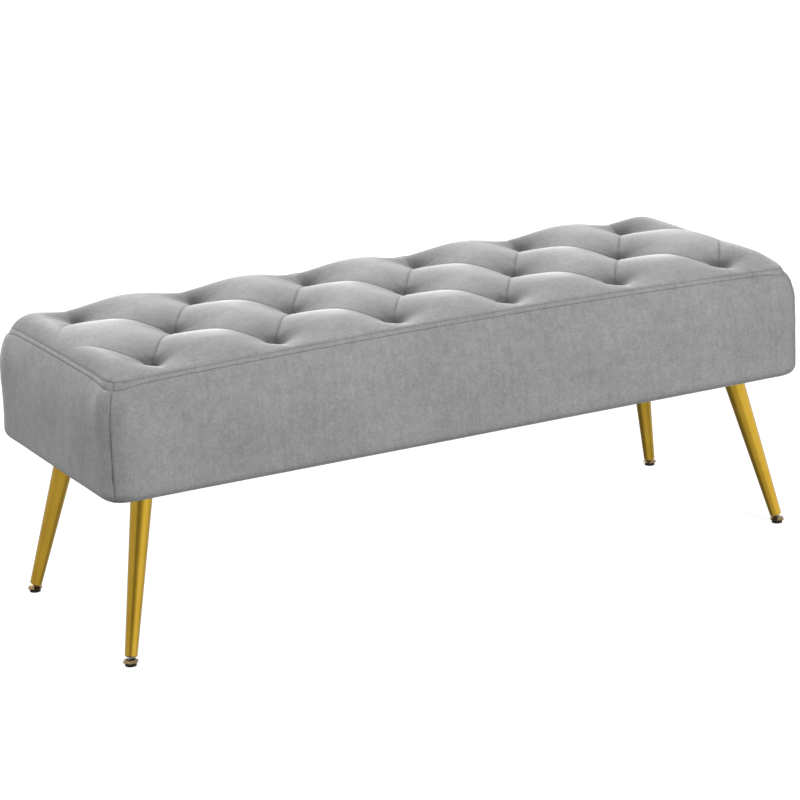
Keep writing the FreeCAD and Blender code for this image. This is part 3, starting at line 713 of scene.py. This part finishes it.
# %% Smooth the cloth but keep its creases sharp, then close it from below
def creased(mesh, pairs, fade_from, fade_to):
    """Marks the given edges as creases, less and less between two distances from the middle."""
    points = coordinates(mesh)
    sharp = mesh.attributes.new("crease_edge", "FLOAT", "EDGE")
    for edge in mesh.edges:
        first, second = edge.vertices
        if (first, second) in pairs or (second, first) in pairs:
            reach = abs(points[first][0])
            sharpness = np.interp(reach, (fade_from, fade_to), (0.9, 0.0))
            sharp.data[edge.index].value = float(sharpness)


creased(velvet_top.data, crease_edges, 495 * MM, 550 * MM)
velvet_top.modifiers.new("fine", "SUBSURF").levels = 1
keep_result(velvet_top)

FOAM_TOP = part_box("foam_slab")[1].z
CORE_X, CORE_Y = 549 * MM, 183 * MM


def close_below(net):
    """Draws the rim down and in behind the boxing, and closes it just above the foam."""
    rim = [edge for edge in net.edges if edge.is_boundary]
    for drop in (SEAM_LEVEL - 4 * MM, FOAM_TOP + 0.6 * MM):
        wall = bmesh.ops.extrude_edge_only(net, edges=rim)["geom"]
        for vertex in (g for g in wall if isinstance(g, bmesh.types.BMVert)):
            vertex.co.x = max(-CORE_X, min(CORE_X, vertex.co.x))
            vertex.co.y = max(-CORE_Y, min(CORE_Y, vertex.co.y))
            vertex.co.z = drop
        rim = [g for g in wall if isinstance(g, bmesh.types.BMEdge)]
    bmesh.ops.contextual_create(net, geom=rim)


reshape(velvet_top, close_below)
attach(velvet_top, "bench")
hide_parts("tufted_top")

# %% [markdown]
# Each boxing panel is a padded strip of velvet between the seam above and the bottom edge,
# joined to its neighbours by a sewn seam down the rounded corners. In section it turns out
# over a round shoulder, swells, and draws in again to the bottom edge, where it wraps under
# the frame. That section is swept along the side by listed rows and columns, because a
# loft of this kind needs its rows close together where the stitching pulls the cloth in.

# %% The section of the boxing
BOX_BOTTOM = 245 * MM
BULGE, BULGE_CORNER, BOTTOM_EDGE = 20 * MM, 36 * MM, 14 * MM
FRAME_X, FRAME_Y, FRAME_CORNER = 550.4 * MM, 184.4 * MM, 3 * MM
FACE_HEIGHT, TOPSTITCH_FALL = 170, 7.6  # in mm down the face, as the falls below are
STITCHED_FALLS, CORNER_STITCHES_FROM = (1.3, TOPSTITCH_FALL), 15
outer_falls = [0, 0.6, 1.3, 2.2, 3.6, 5.2, 6.4, 7, 7.6, 8.2, 8.9, 10.2, 12.2, 15, 19, 24, 30]
outer_falls += [30 + 7 * k for k in range(1, 19)]
bottom_turns = [math.radians(v) for v in (14, 28, 42, 56, 68, 80, 90)]
# Up the frame's outer face: how far the cloth stands off it and how high it is, in mm
REAR = ((6, 245.2), (1, 245.2), (0, 247.5), (0, 300), (0, 360), (0, 411))
print("rows down a face:", len(outer_falls), "and round the bottom edge:", len(bottom_turns))


def fade(distance, reach):
    """1 where the distance is 0, falling off steeply at first."""
    return math.exp(-distance / reach)


def bell(distance, reach):
    """1 where the distance is 0, falling off to both sides like a hump."""
    return math.exp(-((distance / reach) ** 2))


def swell(level, near_corner):
    """How far the boxing swells at a level, 0 at the seam, 1 at the bottom. Corners are fuller."""
    return 1 - (1 - min(level / 0.66, 1)) ** (2.9 + 1.8 * near_corner)


def seam_height(x, y):
    """The height of the top seam above the floor at a place on it."""
    share_x, share_y = abs(x) / HALF_LENGTH, abs(y) / HALF_WIDTH
    return SEAM_LEVEL + seam_arch(share_x, share_y, 0.5 - y / (2 * HALF_WIDTH))


# %% Columns along a panel
ARC_SHARES = (0, 0.03, 0.07, 0.12, 0.19, 0.28, 0.4, 0.55, 0.72, 0.88)
CORNER_STITCH_SHARE = 0.03
CORNER_RUN, CORNER_REACH = 28 * MM, 32 * MM


def panel_columns(straight_steps):
    """Each column as (where, share): round the first corner, along the side, round the other."""
    first = [("first_corner", share) for share in ARC_SHARES]
    side = [("side", k / straight_steps) for k in range(straight_steps + 1)]
    last = [("last_corner", share) for share in reversed(ARC_SHARES)]
    return first + side + last


def corner_nearness(column, half_run):
    """1 at the corner seam, falling to 0 along the side."""
    where, share = column
    along = CORNER_RUN * share
    if where == "side":
        along = CORNER_RUN + (half_run - BULGE_CORNER) * (1 - abs(2 * share - 1))
    return bell(along, CORNER_REACH)


def column_place(column, half_run, half_depth, radius):
    """A point of the outline at a column and its outward direction, for a side that faces -Y."""
    where, share = column
    if where == "side":
        run = (half_run - radius) * (2 * share - 1)
        return (run, -half_depth), (0.0, -1.0)
    side = -1 if where == "first_corner" else 1
    turn = math.radians(45 + 45 * share)
    direction = (side * math.cos(turn), -math.sin(turn))
    centre = (side * (half_run - radius), -(half_depth - radius))
    return (centre[0] + radius * direction[0], centre[1] + radius * direction[1]), direction


def easing_place(column, half_run, half_depth, radius):
    """The same outline with corners that ease into the sides, as padding rounds them.

    Its bend grows evenly towards the corner seam, as an Euler spiral's does, and the two sums
    below are the first terms of that curve's series.
    """
    where, share = column
    reach = 1.169 * radius  # as much of the corner is cut off as by the plain arc
    end = half_run - 1.1906 * reach
    if where == "side":
        return (end * (2 * share - 1), -half_depth), (0.0, -1.0)
    side = -1 if where == "first_corner" else 1
    v = 1 - share
    turn = math.pi / 4 * v**2
    along = reach * (v - 0.061685 * v**5 + 0.00176 * v**9)
    inward = reach * (0.261799 * v**3 - 0.011535 * v**7 + 0.000226 * v**11)
    place = (side * (end + along), -(half_depth - inward))
    return place, (side * math.sin(turn), -math.cos(turn))


# %% Seeded unevenness for the faces
def waves(seed, count, shortest, longest):
    """A sum of seeded slow waves over a face, each up to 1 high."""
    draw = np.random.default_rng(seed)
    lengths = draw.uniform(shortest, longest, count)
    angles = draw.uniform(0, math.pi, count)
    phases = draw.uniform(0, 2 * math.pi, count)

    def height(run, fall):
        along = run * np.cos(angles) + fall * np.sin(angles)
        return float(np.sin(2 * math.pi * along / lengths + phases).mean())

    return height


# %% Make a boxing panel
# How far the seams, the stitches and the padding move the cloth in or out, and down
SEAM_DRAW, STITCH_DRAW, CORNER_DRAW, DRIFT = 1.9 * MM, 0.6 * MM, 2.2 * MM, 1.6 * MM
STITCH_GATHER, CORNER_GATHER = 0.6 * MM, 1.5 * MM
CORNER_DROP, SEAM_DROP = 4.4, 1.2  # in mm


def boxing_panel(name, node, quarter_turns, straight_steps, seed):
    """A closed padded panel on one side of the box, turned about Z from the side that faces -Y.

    Gives the spots of its stitches, each with the row it belongs to and its outward direction.
    """
    lengthwise = quarter_turns % 2 == 0
    half_run, half_depth = (HALF_LENGTH, HALF_WIDTH) if lengthwise else (HALF_WIDTH, HALF_LENGTH)
    frame_run, frame_depth = (FRAME_X, FRAME_Y) if lengthwise else (FRAME_Y, FRAME_X)
    slow = waves(seed, 7, 90 * MM, 260 * MM)
    pulls = waves(seed + 50, 9, 11 * MM, 24 * MM)
    points, folds, stitch_line = [], [], []
    columns = panel_columns(straight_steps)

    def outline(column, out_share, drawn_in):
        sizes = (
            half_run + BULGE * out_share - drawn_in,
            half_depth + BULGE * out_share - drawn_in,
            SEAM_CORNER + (BULGE_CORNER - SEAM_CORNER) * out_share - drawn_in,
        )
        plain, eased = column_place(column, *sizes), easing_place(column, *sizes)
        place, direction = (
            [a + (b - a) * out_share for a, b in zip(first, second)]
            for first, second in zip(plain, eased)
        )
        return place, Vector(direction).normalized()

    def turned(x, y):
        turn = math.radians(90 * quarter_turns)
        return x * math.cos(turn) - y * math.sin(turn), x * math.sin(turn) + y * math.cos(turn)

    for column in columns:
        where, share = column
        (seam_run, seam_depth), _ = outline(column, 0, 0)
        # Read on the side that faces -Y before it is turned, so the back has the front's bow too
        top = seam_height(*((seam_run, seam_depth) if lengthwise else (seam_depth, seam_run)))
        depth = top - BOX_BOTTOM
        from_corner = 1e3 if where == "side" else share * math.radians(45) * SEAM_CORNER
        corner_seam = fade(from_corner, 1.3 * MM)
        near_corner = corner_nearness(column, half_run)
        profile = []
        for fall in outer_falls:
            level, from_stitch = fall / FACE_HEIGHT, fall - TOPSTITCH_FALL
            (run, out), direction = outline(column, swell(level, near_corner), 0)
            gather = STITCH_GATHER * pulls(run, 0.3 * fall * MM) * fade(abs(from_stitch), 9)
            gather += CORNER_GATHER * pulls(fall * MM, 0) * fade(from_corner, 8 * MM)
            drift = DRIFT * slow(run, fall * MM) * min(1, fall / 30)
            inward = SEAM_DRAW * fade(fall, 1.4) + STITCH_DRAW * bell(from_stitch, 1.1)
            inward += CORNER_DRAW * corner_seam * min(1, fall / 4) - gather - drift
            drop = CORNER_DROP * near_corner * bell(from_stitch, 4.5) + SEAM_DROP * fade(fall, 1.4)
            z = top - depth * level - drop * MM
            spot = (run - direction[0] * inward, out - direction[1] * inward, z)
            profile.append(spot)
            if fall in STITCHED_FALLS:
                stitch_line.append((fall, spot, direction))
            if column == ("first_corner", CORNER_STITCH_SHARE) and fall > CORNER_STITCHES_FROM:
                stitch_line.append(("corner", spot, direction))
            # Painted shade at the top seam, along the topstitch row, down the corner seam and round
            # the corner
            folds.append(max(
                0.4 * fade(fall, 0.9),
                0.3 * bell(from_stitch, 0.8),
                0.35 * corner_seam,
                0.45 * fade(from_corner, 12 * MM),
            ))
        # The round bottom edge, then under the frame and up its outer face
        for turn in bottom_turns:
            (run, out), direction = outline(column, 1, BOTTOM_EDGE * (1 - math.cos(turn)))
            inward = (CORNER_DRAW * corner_seam - drift) * math.cos(turn)
            z = BOX_BOTTOM + BOTTOM_EDGE * (1 - math.sin(turn))
            profile.append((run - direction[0] * inward, out - direction[1] * inward, z))
            # Painted shade by the corner seam and round the corner, on the bottom edge
            folds.append(max(0.5 * corner_seam, 0.55 * fade(from_corner, 16 * MM)))
        for off, z in ((v * MM, w * MM) for v, w in REAR):
            sizes = frame_run + off, frame_depth + off, FRAME_CORNER + off
            profile.append((*column_place(column, *sizes)[0], z))
            folds.append(0.0)
        points.append(profile)

    count = len(points[0])
    faces = []
    for k in range(len(columns) - 1):
        for row in range(count):
            a, b = k * count + row, k * count + (row + 1) % count
            faces.append((a, a + count, b + count, b))
    faces.append(tuple(range(count)))
    faces.append(tuple(reversed(range((len(columns) - 1) * count, len(columns) * count))))
    places = [(*turned(px, py), pz) for profile in points for px, py, pz in profile]
    panel = piece_of(name, places, faces, velvet_face_cloth)
    panel.data.attributes.new("fold", "FLOAT", "POINT").data.foreach_set("value", folds)
    reshape(panel)
    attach(panel, "bench")
    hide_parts(node)
    return [
        (row, (*turned(px, py), pz), turned(*direction))
        for row, (px, py, pz), direction in stitch_line
    ]


# %% The four boxing panels
PANELS = (
    ("velvet_front", "front_panel", 0, 190, 3),
    ("velvet_right", "right_panel", 1, 62, 5),
    ("velvet_back", "back_panel", 2, 190, 7),
    ("velvet_left", "left_panel", 3, 62, 11),
)
stitched = {name: boxing_panel(name, *row) for name, *row in PANELS}

# %% [markdown]
# The velvet is sewn with a dark thread: one row right on the top seam, one close below it, and
# one in each corner seam. Each stitch is a short bowed piece of thread that dives into the cloth
# at both ends. A geometry tree lays them along a path at a set pitch, which is far less work
# than placing some fifteen hundred stitches, and a fixed seed keeps the small differences
# between them the same on every run. The same steps lay the staples of the dust cover later.


# %% Lay things along a path
def lay_along(tree, given, thing, outwards, swing, seed):
    """Lays a thing along the incoming path at each Pitch, swung a little about its outward way."""
    path = tree.add("GeometryNodeMeshToCurve", feeds={0: given("Geometry")})
    feeds = {"Curve": path, "Length": given("Pitch")}
    spots = tree.add("GeometryNodeCurveToPoints", {"mode": "LENGTH"}, feeds)
    axes = {"primary_axis": "X", "secondary_axis": "Z"}
    lie = tree.add("FunctionNodeAxesToRotation", axes, {0: spots.out("Tangent"), 1: outwards})
    feeds = {"Min": 0 - swing, "Max": swing, "Seed": seed}
    sway = tree.add("FunctionNodeRandomValue", {"data_type": "FLOAT"}, feeds, output=1)
    feeds = {0: lie, 1: tree.vector(0.0, 0.0, sway)}
    lie = tree.add("FunctionNodeRotateRotation", {"rotation_space": "LOCAL"}, feeds)
    feeds = {"Points": spots, "Instance": thing, "Rotation": lie}
    return tree.add("GeometryNodeInstanceOnPoints", feeds=feeds)


def path_piece(name, points, edges, material):
    """A piece that is only a path of points and edges."""
    piece = piece_of(name, points, [], material)
    piece.data.edges.add(len(edges))
    piece.data.edges.foreach_set("vertices", np.array(edges).ravel())
    return piece


# %% The stitching tree
def sewing_values(pitch, wander, thread, bow):
    return {"Pitch": pitch, "Stitch Length": pitch * 0.66, "Thread": thread, "Bow": bow,
            "Wander": wander, "Thread Finish": finishes["sewing_thread"]}


ROWS = {  # which stitches, then pitch, wander in radians, thickness of the thread and its bow
    "seam_stitches": (STITCHED_FALLS[0], 4.4 * MM, 0.06, 0.7 * MM, 0.1 * MM),
    "topstitches": (TOPSTITCH_FALL, 4.4 * MM, 0.08, 1.1 * MM, 0.35 * MM),
    "corner_stitches": ("corner", 4.8 * MM, 0.1, 0.5 * MM, 0.05 * MM),
}
sewing, tree, given = geometry_tree("sewing", sewing_values(*ROWS["seam_stitches"][1:]))
outwards = tree.add(
    "GeometryNodeInputNamedAttribute", {"data_type": "FLOAT_VECTOR"}, {"Name": "outwards"}
)
half_stitch, bow = given("Stitch Length") / 2, given("Bow")
arc = tree.add(
    "GeometryNodeCurveQuadraticBezier",
    feeds={
        "Resolution": 4,
        "Start": tree.vector(0 - half_stitch, 0.0, 0 - bow),
        "Middle": tree.vector(0.0, 0.0, bow * 2),
        "End": tree.vector(half_stitch, 0.0, 0 - bow),
    },
)
feeds = {"Resolution": 6, "Radius": given("Thread") / 2}
ring = tree.add("GeometryNodeCurvePrimitiveCircle", feeds=feeds)
feeds = {"Curve": arc, "Profile Curve": ring, "Fill Caps": True}
stitch = tree.add("GeometryNodeCurveToMesh", feeds=feeds)
stitch = tree.add("GeometryNodeSetShadeSmooth", feeds={0: stitch})
row = lay_along(tree, given, stitch, outwards, given("Wander"), 4)
close_tree(tree, row, given("Thread Finish"))
print("sewing tree:", len(sewing.nodes), "nodes")


# %% Sew the rows
OUTWARD_RISE = 0.35  # a stitch faces outwards and a little up


def sew(name, kind, *values):
    """Stitches along the spots of one kind, a line per panel."""
    points, edges, outs = [], [], []
    for line in stitched.values():
        row = [(spot, out) for k, spot, out in line if k == kind]
        edges += [(len(points) + k, len(points) + k + 1) for k in range(len(row) - 1)]
        points += [spot for spot, out in row]
        outs += [(*out, OUTWARD_RISE) for spot, out in row]
    piece = path_piece(name, points, edges, finishes["sewing_thread"])
    facing = piece.data.attributes.new("outwards", "FLOAT_VECTOR", "POINT")
    facing.data.foreach_set("vector", np.array(outs).ravel())
    grow(piece, sewing, sewing_values(*values))
    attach(piece, "bench")


for name, row in ROWS.items():
    sew(name, *row)

# %% [markdown]
# Under the tufted top lies a slab of cut foam. Its shape in the CAD model is right, with a hole
# for each tie, but cut foam has no sharp edges. So a copy of that mesh is merged, its outer
# edges get a small bevel, and it stands in for the slab.

# %% The foam block
foam_block = piece_of("foam_block", [], [], finishes["foam"], smooth=False)
foam_block.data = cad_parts["foam_slab"].data.copy()
foam_block.data.materials.clear()
foam_block.data.materials.append(finishes["foam"])


def round_edges(net):
    """Merges a CAD mesh's doubled points and bevels its long outer edges."""
    bmesh.ops.remove_doubles(net, verts=net.verts, dist=0.01 * MM)
    bmesh.ops.dissolve_limit(net, angle_limit=math.radians(1), verts=net.verts, edges=net.edges)
    long_edges = [
        edge for edge in net.edges
        if edge.is_manifold and edge.calc_length() > 15 * MM and edge.calc_face_angle(0) > 0.8
    ]
    bmesh.ops.bevel(
        net, geom=long_edges, offset=1.2 * MM, segments=2, profile=0.5, affect="EDGES"
    )
    print("edges rounded:", len(long_edges))


reshape(foam_block, round_edges)
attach(foam_block, "bench")
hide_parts("foam_slab")

# %% [markdown]
# The underside is closed by a dust cover, a black non-woven sheet that is cut to size and
# stapled to the rails all round. It is pulled flat by hand, so it hangs down a little between
# its staples, and lies flat where the leg plates press it to the boards. A grid is given that
# sag and a thickness of its own.

# %% The dust cover
COVER_LOW, COVER_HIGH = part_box("dust_cover")
cover_width, cover_length = COVER_HIGH.y - COVER_LOW.y, COVER_HIGH.x - COVER_LOW.x
plate_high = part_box("leg_plate_front_left")[1]
STAPLE_INSET, STAPLE_PITCH, PLATE_MARGIN = 3.5 * MM, 46 * MM, 6 * MM
SAG, RIPPLE, COVER_GAP = 1.5 * MM, 0.35 * MM, 0.05 * MM
cover_columns, cover_rows = 180, 60


def cover_sag(x, y):
    """How far the cover hangs down at a place."""
    from_edge = min(COVER_HIGH.x - abs(x), COVER_HIGH.y - abs(y))
    past_plate = math.hypot(
        max(abs(plate_high.x) - PLATE_MARGIN - abs(x), 0),
        max(abs(plate_high.y) - PLATE_MARGIN - abs(y), 0),
    )
    free = min(1, from_edge / (90 * MM)) * min(1, past_plate / (60 * MM))
    ripple = math.sin(2 * math.pi * (x if abs(y) > 0.5 * COVER_HIGH.y else y) / STAPLE_PITCH)
    near_edge = fade(from_edge, 22 * MM) * min(1, from_edge / (6 * MM))
    near_edge *= min(1, past_plate / (30 * MM))
    return SAG * free**1.4 + RIPPLE * (1 + ripple) * near_edge


cover_points, cover_faces = [], []
for j in range(cover_rows + 1):
    for i in range(cover_columns + 1):
        px = COVER_LOW.x + cover_length * i / cover_columns
        py = COVER_LOW.y + cover_width * j / cover_rows
        cover_points.append((px, py, COVER_HIGH.z - COVER_GAP - cover_sag(px, py)))
        if i < cover_columns and j < cover_rows:
            a = len(cover_points) - 1
            cover_faces.append((a, a + 1, a + cover_columns + 2, a + cover_columns + 1))
stapled_cover = piece_of("stapled_cover", cover_points, cover_faces, finishes["black_cover"])
thickness = stapled_cover.modifiers.new("thickness", "SOLIDIFY")
thickness.thickness = 0.4 * MM
thickness.offset = -1
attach(stapled_cover, "bench")
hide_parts("dust_cover")
print("dust cover cut to", round(cover_width / MM), "by", round(cover_length / MM), "mm")

# %% Staples along its edge, by the same kind of tree as the stitches
STAPLING = {"Pitch": STAPLE_PITCH, "Crown": 9 * MM, "Leg": 1.2 * MM, "Wire": 0.5 * MM,
            "Slant": 0.22, "Staple Finish": finishes["bright_steel"]}
stapling, tree, given = geometry_tree("stapling", STAPLING)
half_crown, leg, wire = given("Crown") / 2, given("Leg"), given("Wire")
bar_size = tree.vector(half_crown * 2, wire * 1.6, wire)
leg_size = tree.vector(wire, wire * 1.6, leg)
staple = tree.add("GeometryNodeJoinGeometry")
parts = [tree.add("GeometryNodeMeshCube", feeds={"Size": bar_size})]
for side in (-1, 1):
    shift = tree.vector((half_crown - wire / 2) * side, 0.0, (leg + wire) / 2)
    feeds = {"Geometry": tree.add("GeometryNodeMeshCube", feeds={"Size": leg_size})}
    parts.append(tree.add("GeometryNodeTransform", feeds={**feeds, "Translation": shift}))
for part in parts:
    tree.tree.links.new(part.socket, staple.socket.node.inputs[0])
row = lay_along(tree, given, staple, (0, 0, 1), given("Slant"), 9)
close_tree(tree, row, given("Staple Finish"))

edge_x, edge_y = COVER_HIGH.x - STAPLE_INSET, COVER_HIGH.y - STAPLE_INSET
level = COVER_LOW.z - COVER_GAP
edges = [(0, 1), (1, 2), (2, 3), (3, 0)]
staples = path_piece(
    "staples", rectangle(edge_x, edge_y, level), edges, finishes["bright_steel"]
)
grow(staples, stapling, STAPLING)
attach(staples, "bench")

# %% [markdown]
# The gold legs are steel tube with a satin gold coating. A coating like this has a fine grain
# along the tube from brushing before it was coated, a slightly uneven gloss, and small specks.

# %% Satin gold
GOLD_DEEP, GOLD_PALE, GOLD_GRAIN = (
    (0.56, 0.34, 0.022, 1), (0.63, 0.395, 0.034, 1), (0.47, 0.275, 0.016, 1)
)
GRAIN_DEPTH = 0.04 * MM
finishes["satin_gold"], tree, shader = material_tree(
    "satin_gold", metallic=1.0, coat_weight=0.35, coat_roughness=0.14
)
grain = tree.noise(stretched(tree, (900, 900, 18)), 1, 3, 0.6)
cloudy = tree.noise(object_place(tree), 24, 3)
tone = blend_colours(tree, cloudy.spread(), GOLD_DEEP, GOLD_PALE)
tone = blend_colours(tree, grain.ramp(0.2, 0.8) * 0.35, tone, GOLD_GRAIN)
rough = 0.17 + 0.08 * grain + 0.04 * cloudy
feed(tree, shader, base_color=tone, roughness=rough, normal=bump(tree, grain, GRAIN_DEPTH, 0.5))
print("gold made")

# %% Wood: grain drawn out along one axis, and plies on the edges of plywood
PLY, PLY_TONE = 3.0 * MM, (0.19, 0.10, 0.045, 1)


def timber(name, grain_scale, dark, light, plies):
    material, tree, shader = material_tree(name)
    grain = tree.noise(stretched(tree, grain_scale), 1, 4, 0.55)
    rings = (grain * 9).sine() * 0.5 + 0.5
    tone = blend_colours(tree, rings * 0.6 + grain * 0.4, (*dark, 1), (*light, 1))
    if plies:
        layer = (tree.parts(object_place(tree))[2] * (2 * math.pi / PLY)).sine().ramp(-0.3, 0.3)
        normal = tree.add("ShaderNodeNewGeometry", output="Normal")
        edge = 1 - abs(tree.parts(normal)[2]).ramp(0.4, 0.6)
        tone = blend_colours(tree, layer * edge * 0.7, tone, PLY_TONE)
    grooves = bump(tree, grain, 0.3 * MM, 0.3)
    feed(tree, shader, base_color=tone, roughness=0.6 + 0.2 * grain, normal=grooves)
    return material


PINE = ((0.45, 0.29, 0.14), (0.68, 0.50, 0.29), False)
TIMBERS = {
    "pine_along": ((6, 130, 130), *PINE),
    "pine_across": ((130, 6, 130), *PINE),
    "plywood": ((5, 70, 70), (0.42, 0.28, 0.15), (0.62, 0.45, 0.27), True),
}
finishes.update({name: timber(name, *row) for name, row in TIMBERS.items()})


# %% Give every CAD node its finish
def dress(node, material):
    """Assigns a finish to the object's own material slots."""
    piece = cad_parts[node]
    if not piece.material_slots:
        piece.data.materials.append(None)
    for material_slot in piece.material_slots:
        material_slot.link = "OBJECT"
        material_slot.material = material


FINISHED_NODES = {  # how the names of its nodes begin
    "satin_gold": ("leg_tube",),
    "black_steel": ("leg_plate", "leg_bolts"),
    "black_plastic": ("leg_insert",),
    "bright_steel": ("foot_stud", "t_nuts", "deck_screws", "frame_screws"),
    "bronze_zinc": ("foot_cap",),
    "black_rubber": ("foot_pad",),
    "pine_along": ("gusset", "front_rail", "back_rail"),
    "pine_across": ("left_rail", "right_rail", "cross_rail"),
    "plywood": ("leg_board", "seat_deck"),
    "tie_cord": ("tuft_ties",),
    "white_plastic": ("tuft_washers",),
    "foam": ("foam_slab",),
    "black_cover": ("dust_cover",),
}
for node in sorted(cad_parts):
    for finish, beginnings in FINISHED_NODES.items():
        if node.startswith(beginnings):
            dress(node, finishes[finish])
print("finishes given to", len(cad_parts), "nodes")

# %% [markdown]
# The studio: a white floor and a white surround, a broad soft lamp far off and high behind the
# piece, whose light rakes over the puffs, and two more, far off in front and beyond the near
# end, that fill the sides. Light Path tells what kind of ray asks for a colour: the camera sees
# the surround white, the object is lit by it at a plain low level, and metal mirrors it. Polished
# metal shows what stands round it, so for metal alone the surround has a bright card and a dark
# one, as a photographer puts up, and is dim low down on both sides, or the legs would look flat.

# %% Floor
FLOOR_HALF = 14
SHADED_FLOOR, PLAIN_FLOOR, GLOW = (0.2, 0.2, 0.2, 1), (0.12, 0.12, 0.12, 1), 0.93
floor_material = bpy.data.materials.new("studio_floor")
tree = with_nodes(floor_material)
ray = tree.add("ShaderNodeLightPath", output="Is Camera Ray")
seen_straight = ray.most(ray.out("Is Transmission Ray"))
floor_x, floor_y, _ = tree.parts(object_place(tree))
far_off = length_of(floor_x, floor_y).ramp(1.2, 3.6)
feeds = {"Color": (1, 1, 1, 1), "Strength": GLOW + 0.05 * far_off}
glow = tree.add("ShaderNodeEmission", feeds=feeds)
shadowed = tree.add("ShaderNodeBsdfDiffuse", feeds={"Color": SHADED_FLOOR})
white = tree.add("ShaderNodeAddShader", feeds={0: shadowed, 1: glow})
plain = tree.add("ShaderNodeBsdfDiffuse", feeds={"Color": PLAIN_FLOOR})
seen = tree.add("ShaderNodeMixShader", feeds={0: seen_straight, 1: plain, 2: white})
open_to_surround = tree.add("ShaderNodeBsdfTransparent")
feeds = {0: ray.out("Is Glossy Ray"), 1: seen, 2: open_to_surround}
mirrored = tree.add("ShaderNodeMixShader", feeds=feeds)
tree.add("ShaderNodeOutputMaterial", feeds={"Surface": mirrored})
corners = rectangle(FLOOR_HALF, FLOOR_HALF, 0)
floor = piece_of("studio_floor", corners, [(0, 1, 2, 3)], floor_material)
print("floor made")

# %% Surround
world = bpy.data.worlds.new("studio_surround")
scene.world = world
tree = with_nodes(world)
ray = tree.add("ShaderNodeLightPath", output="Is Camera Ray")
gloss, clear = ray.out("Is Glossy Ray"), ray.out("Is Transmission Ray")
aim_x, aim_y, aim_z = tree.parts(tree.add("ShaderNodeTexCoord", output="Generated"))
bearing = aim_x.angle_to(0 - aim_y)


def card(light, left=None, right=None, bottom=None, top=None):
    """The light of a card between soft edges, two of them in bearing and two in height."""
    for aim, begins, ends in ((bearing, left, right), (aim_z, bottom, top)):
        if begins:
            light = light * aim.ramp(*begins)
        if ends:
            light = light * (1 - aim.ramp(*ends))
    return light


bright_card = card(
    0.56, left=(-0.75, -0.05), right=(1.5, 2.0), bottom=(-0.3, -0.12), top=(0.06, 0.12)
)
dark_card = card(0.48, left=(-1.15, -0.95), right=(-0.1, 0.25), bottom=(0.06, 0.14))
low_left = card(0.5, right=(-2.1, -0.8), top=(-0.5, -0.2))
low_right = card(0.3, left=(0.3, 0.9), top=(-0.62, -0.48))
MIRRORED_LIGHT, PLAIN_LIGHT = 0.66, 0.2
mirrored = MIRRORED_LIGHT + bright_card - dark_card - low_left - low_right
strength = ray.most(clear).most(gloss * mirrored).most(PLAIN_LIGHT)
feeds = {"Color": (1, 1, 1, 1), "Strength": strength}
surround = tree.add("ShaderNodeBackground", feeds=feeds)
tree.add("ShaderNodeOutputWorld", feeds={"Surface": surround})
print("surround made")


# %% Lamps
def soft_lamp(name, place, target, size, watts, mirrored):
    """A square area lamp that points at a target, seen in metal or not."""
    data = bpy.data.lights.new(name, "AREA")
    data.size = size
    data.energy = watts
    lamp = bpy.data.objects.new(name, data)
    lamp.location = place
    lamp.rotation_mode = "QUATERNION"
    lamp.rotation_quaternion = (Vector(target) - Vector(place)).to_track_quat("-Z", "Y")
    lamp.visible_glossy = mirrored
    scene.collection.objects.link(lamp)


LAMPS = {  # place and target in metres, size in metres, watts, and whether metal shows it
    "key_lamp": ((0.1, 4.2, 4.4), (0, 0, 0.4), 2.3, 318, True),
    "front_lamp": ((1.4, -6.5, 2.9), (0.1, 0, 0.3), 2.2, 462, False),
    "end_lamp": ((-6.2, 2.0, 1.9), (0, 0, 0.3), 1.8, 250, False),
}
for name, row in LAMPS.items():
    soft_lamp(name, *row)
scene.view_settings.view_transform = "Standard"
print("lamps:", ", ".join(LAMPS))
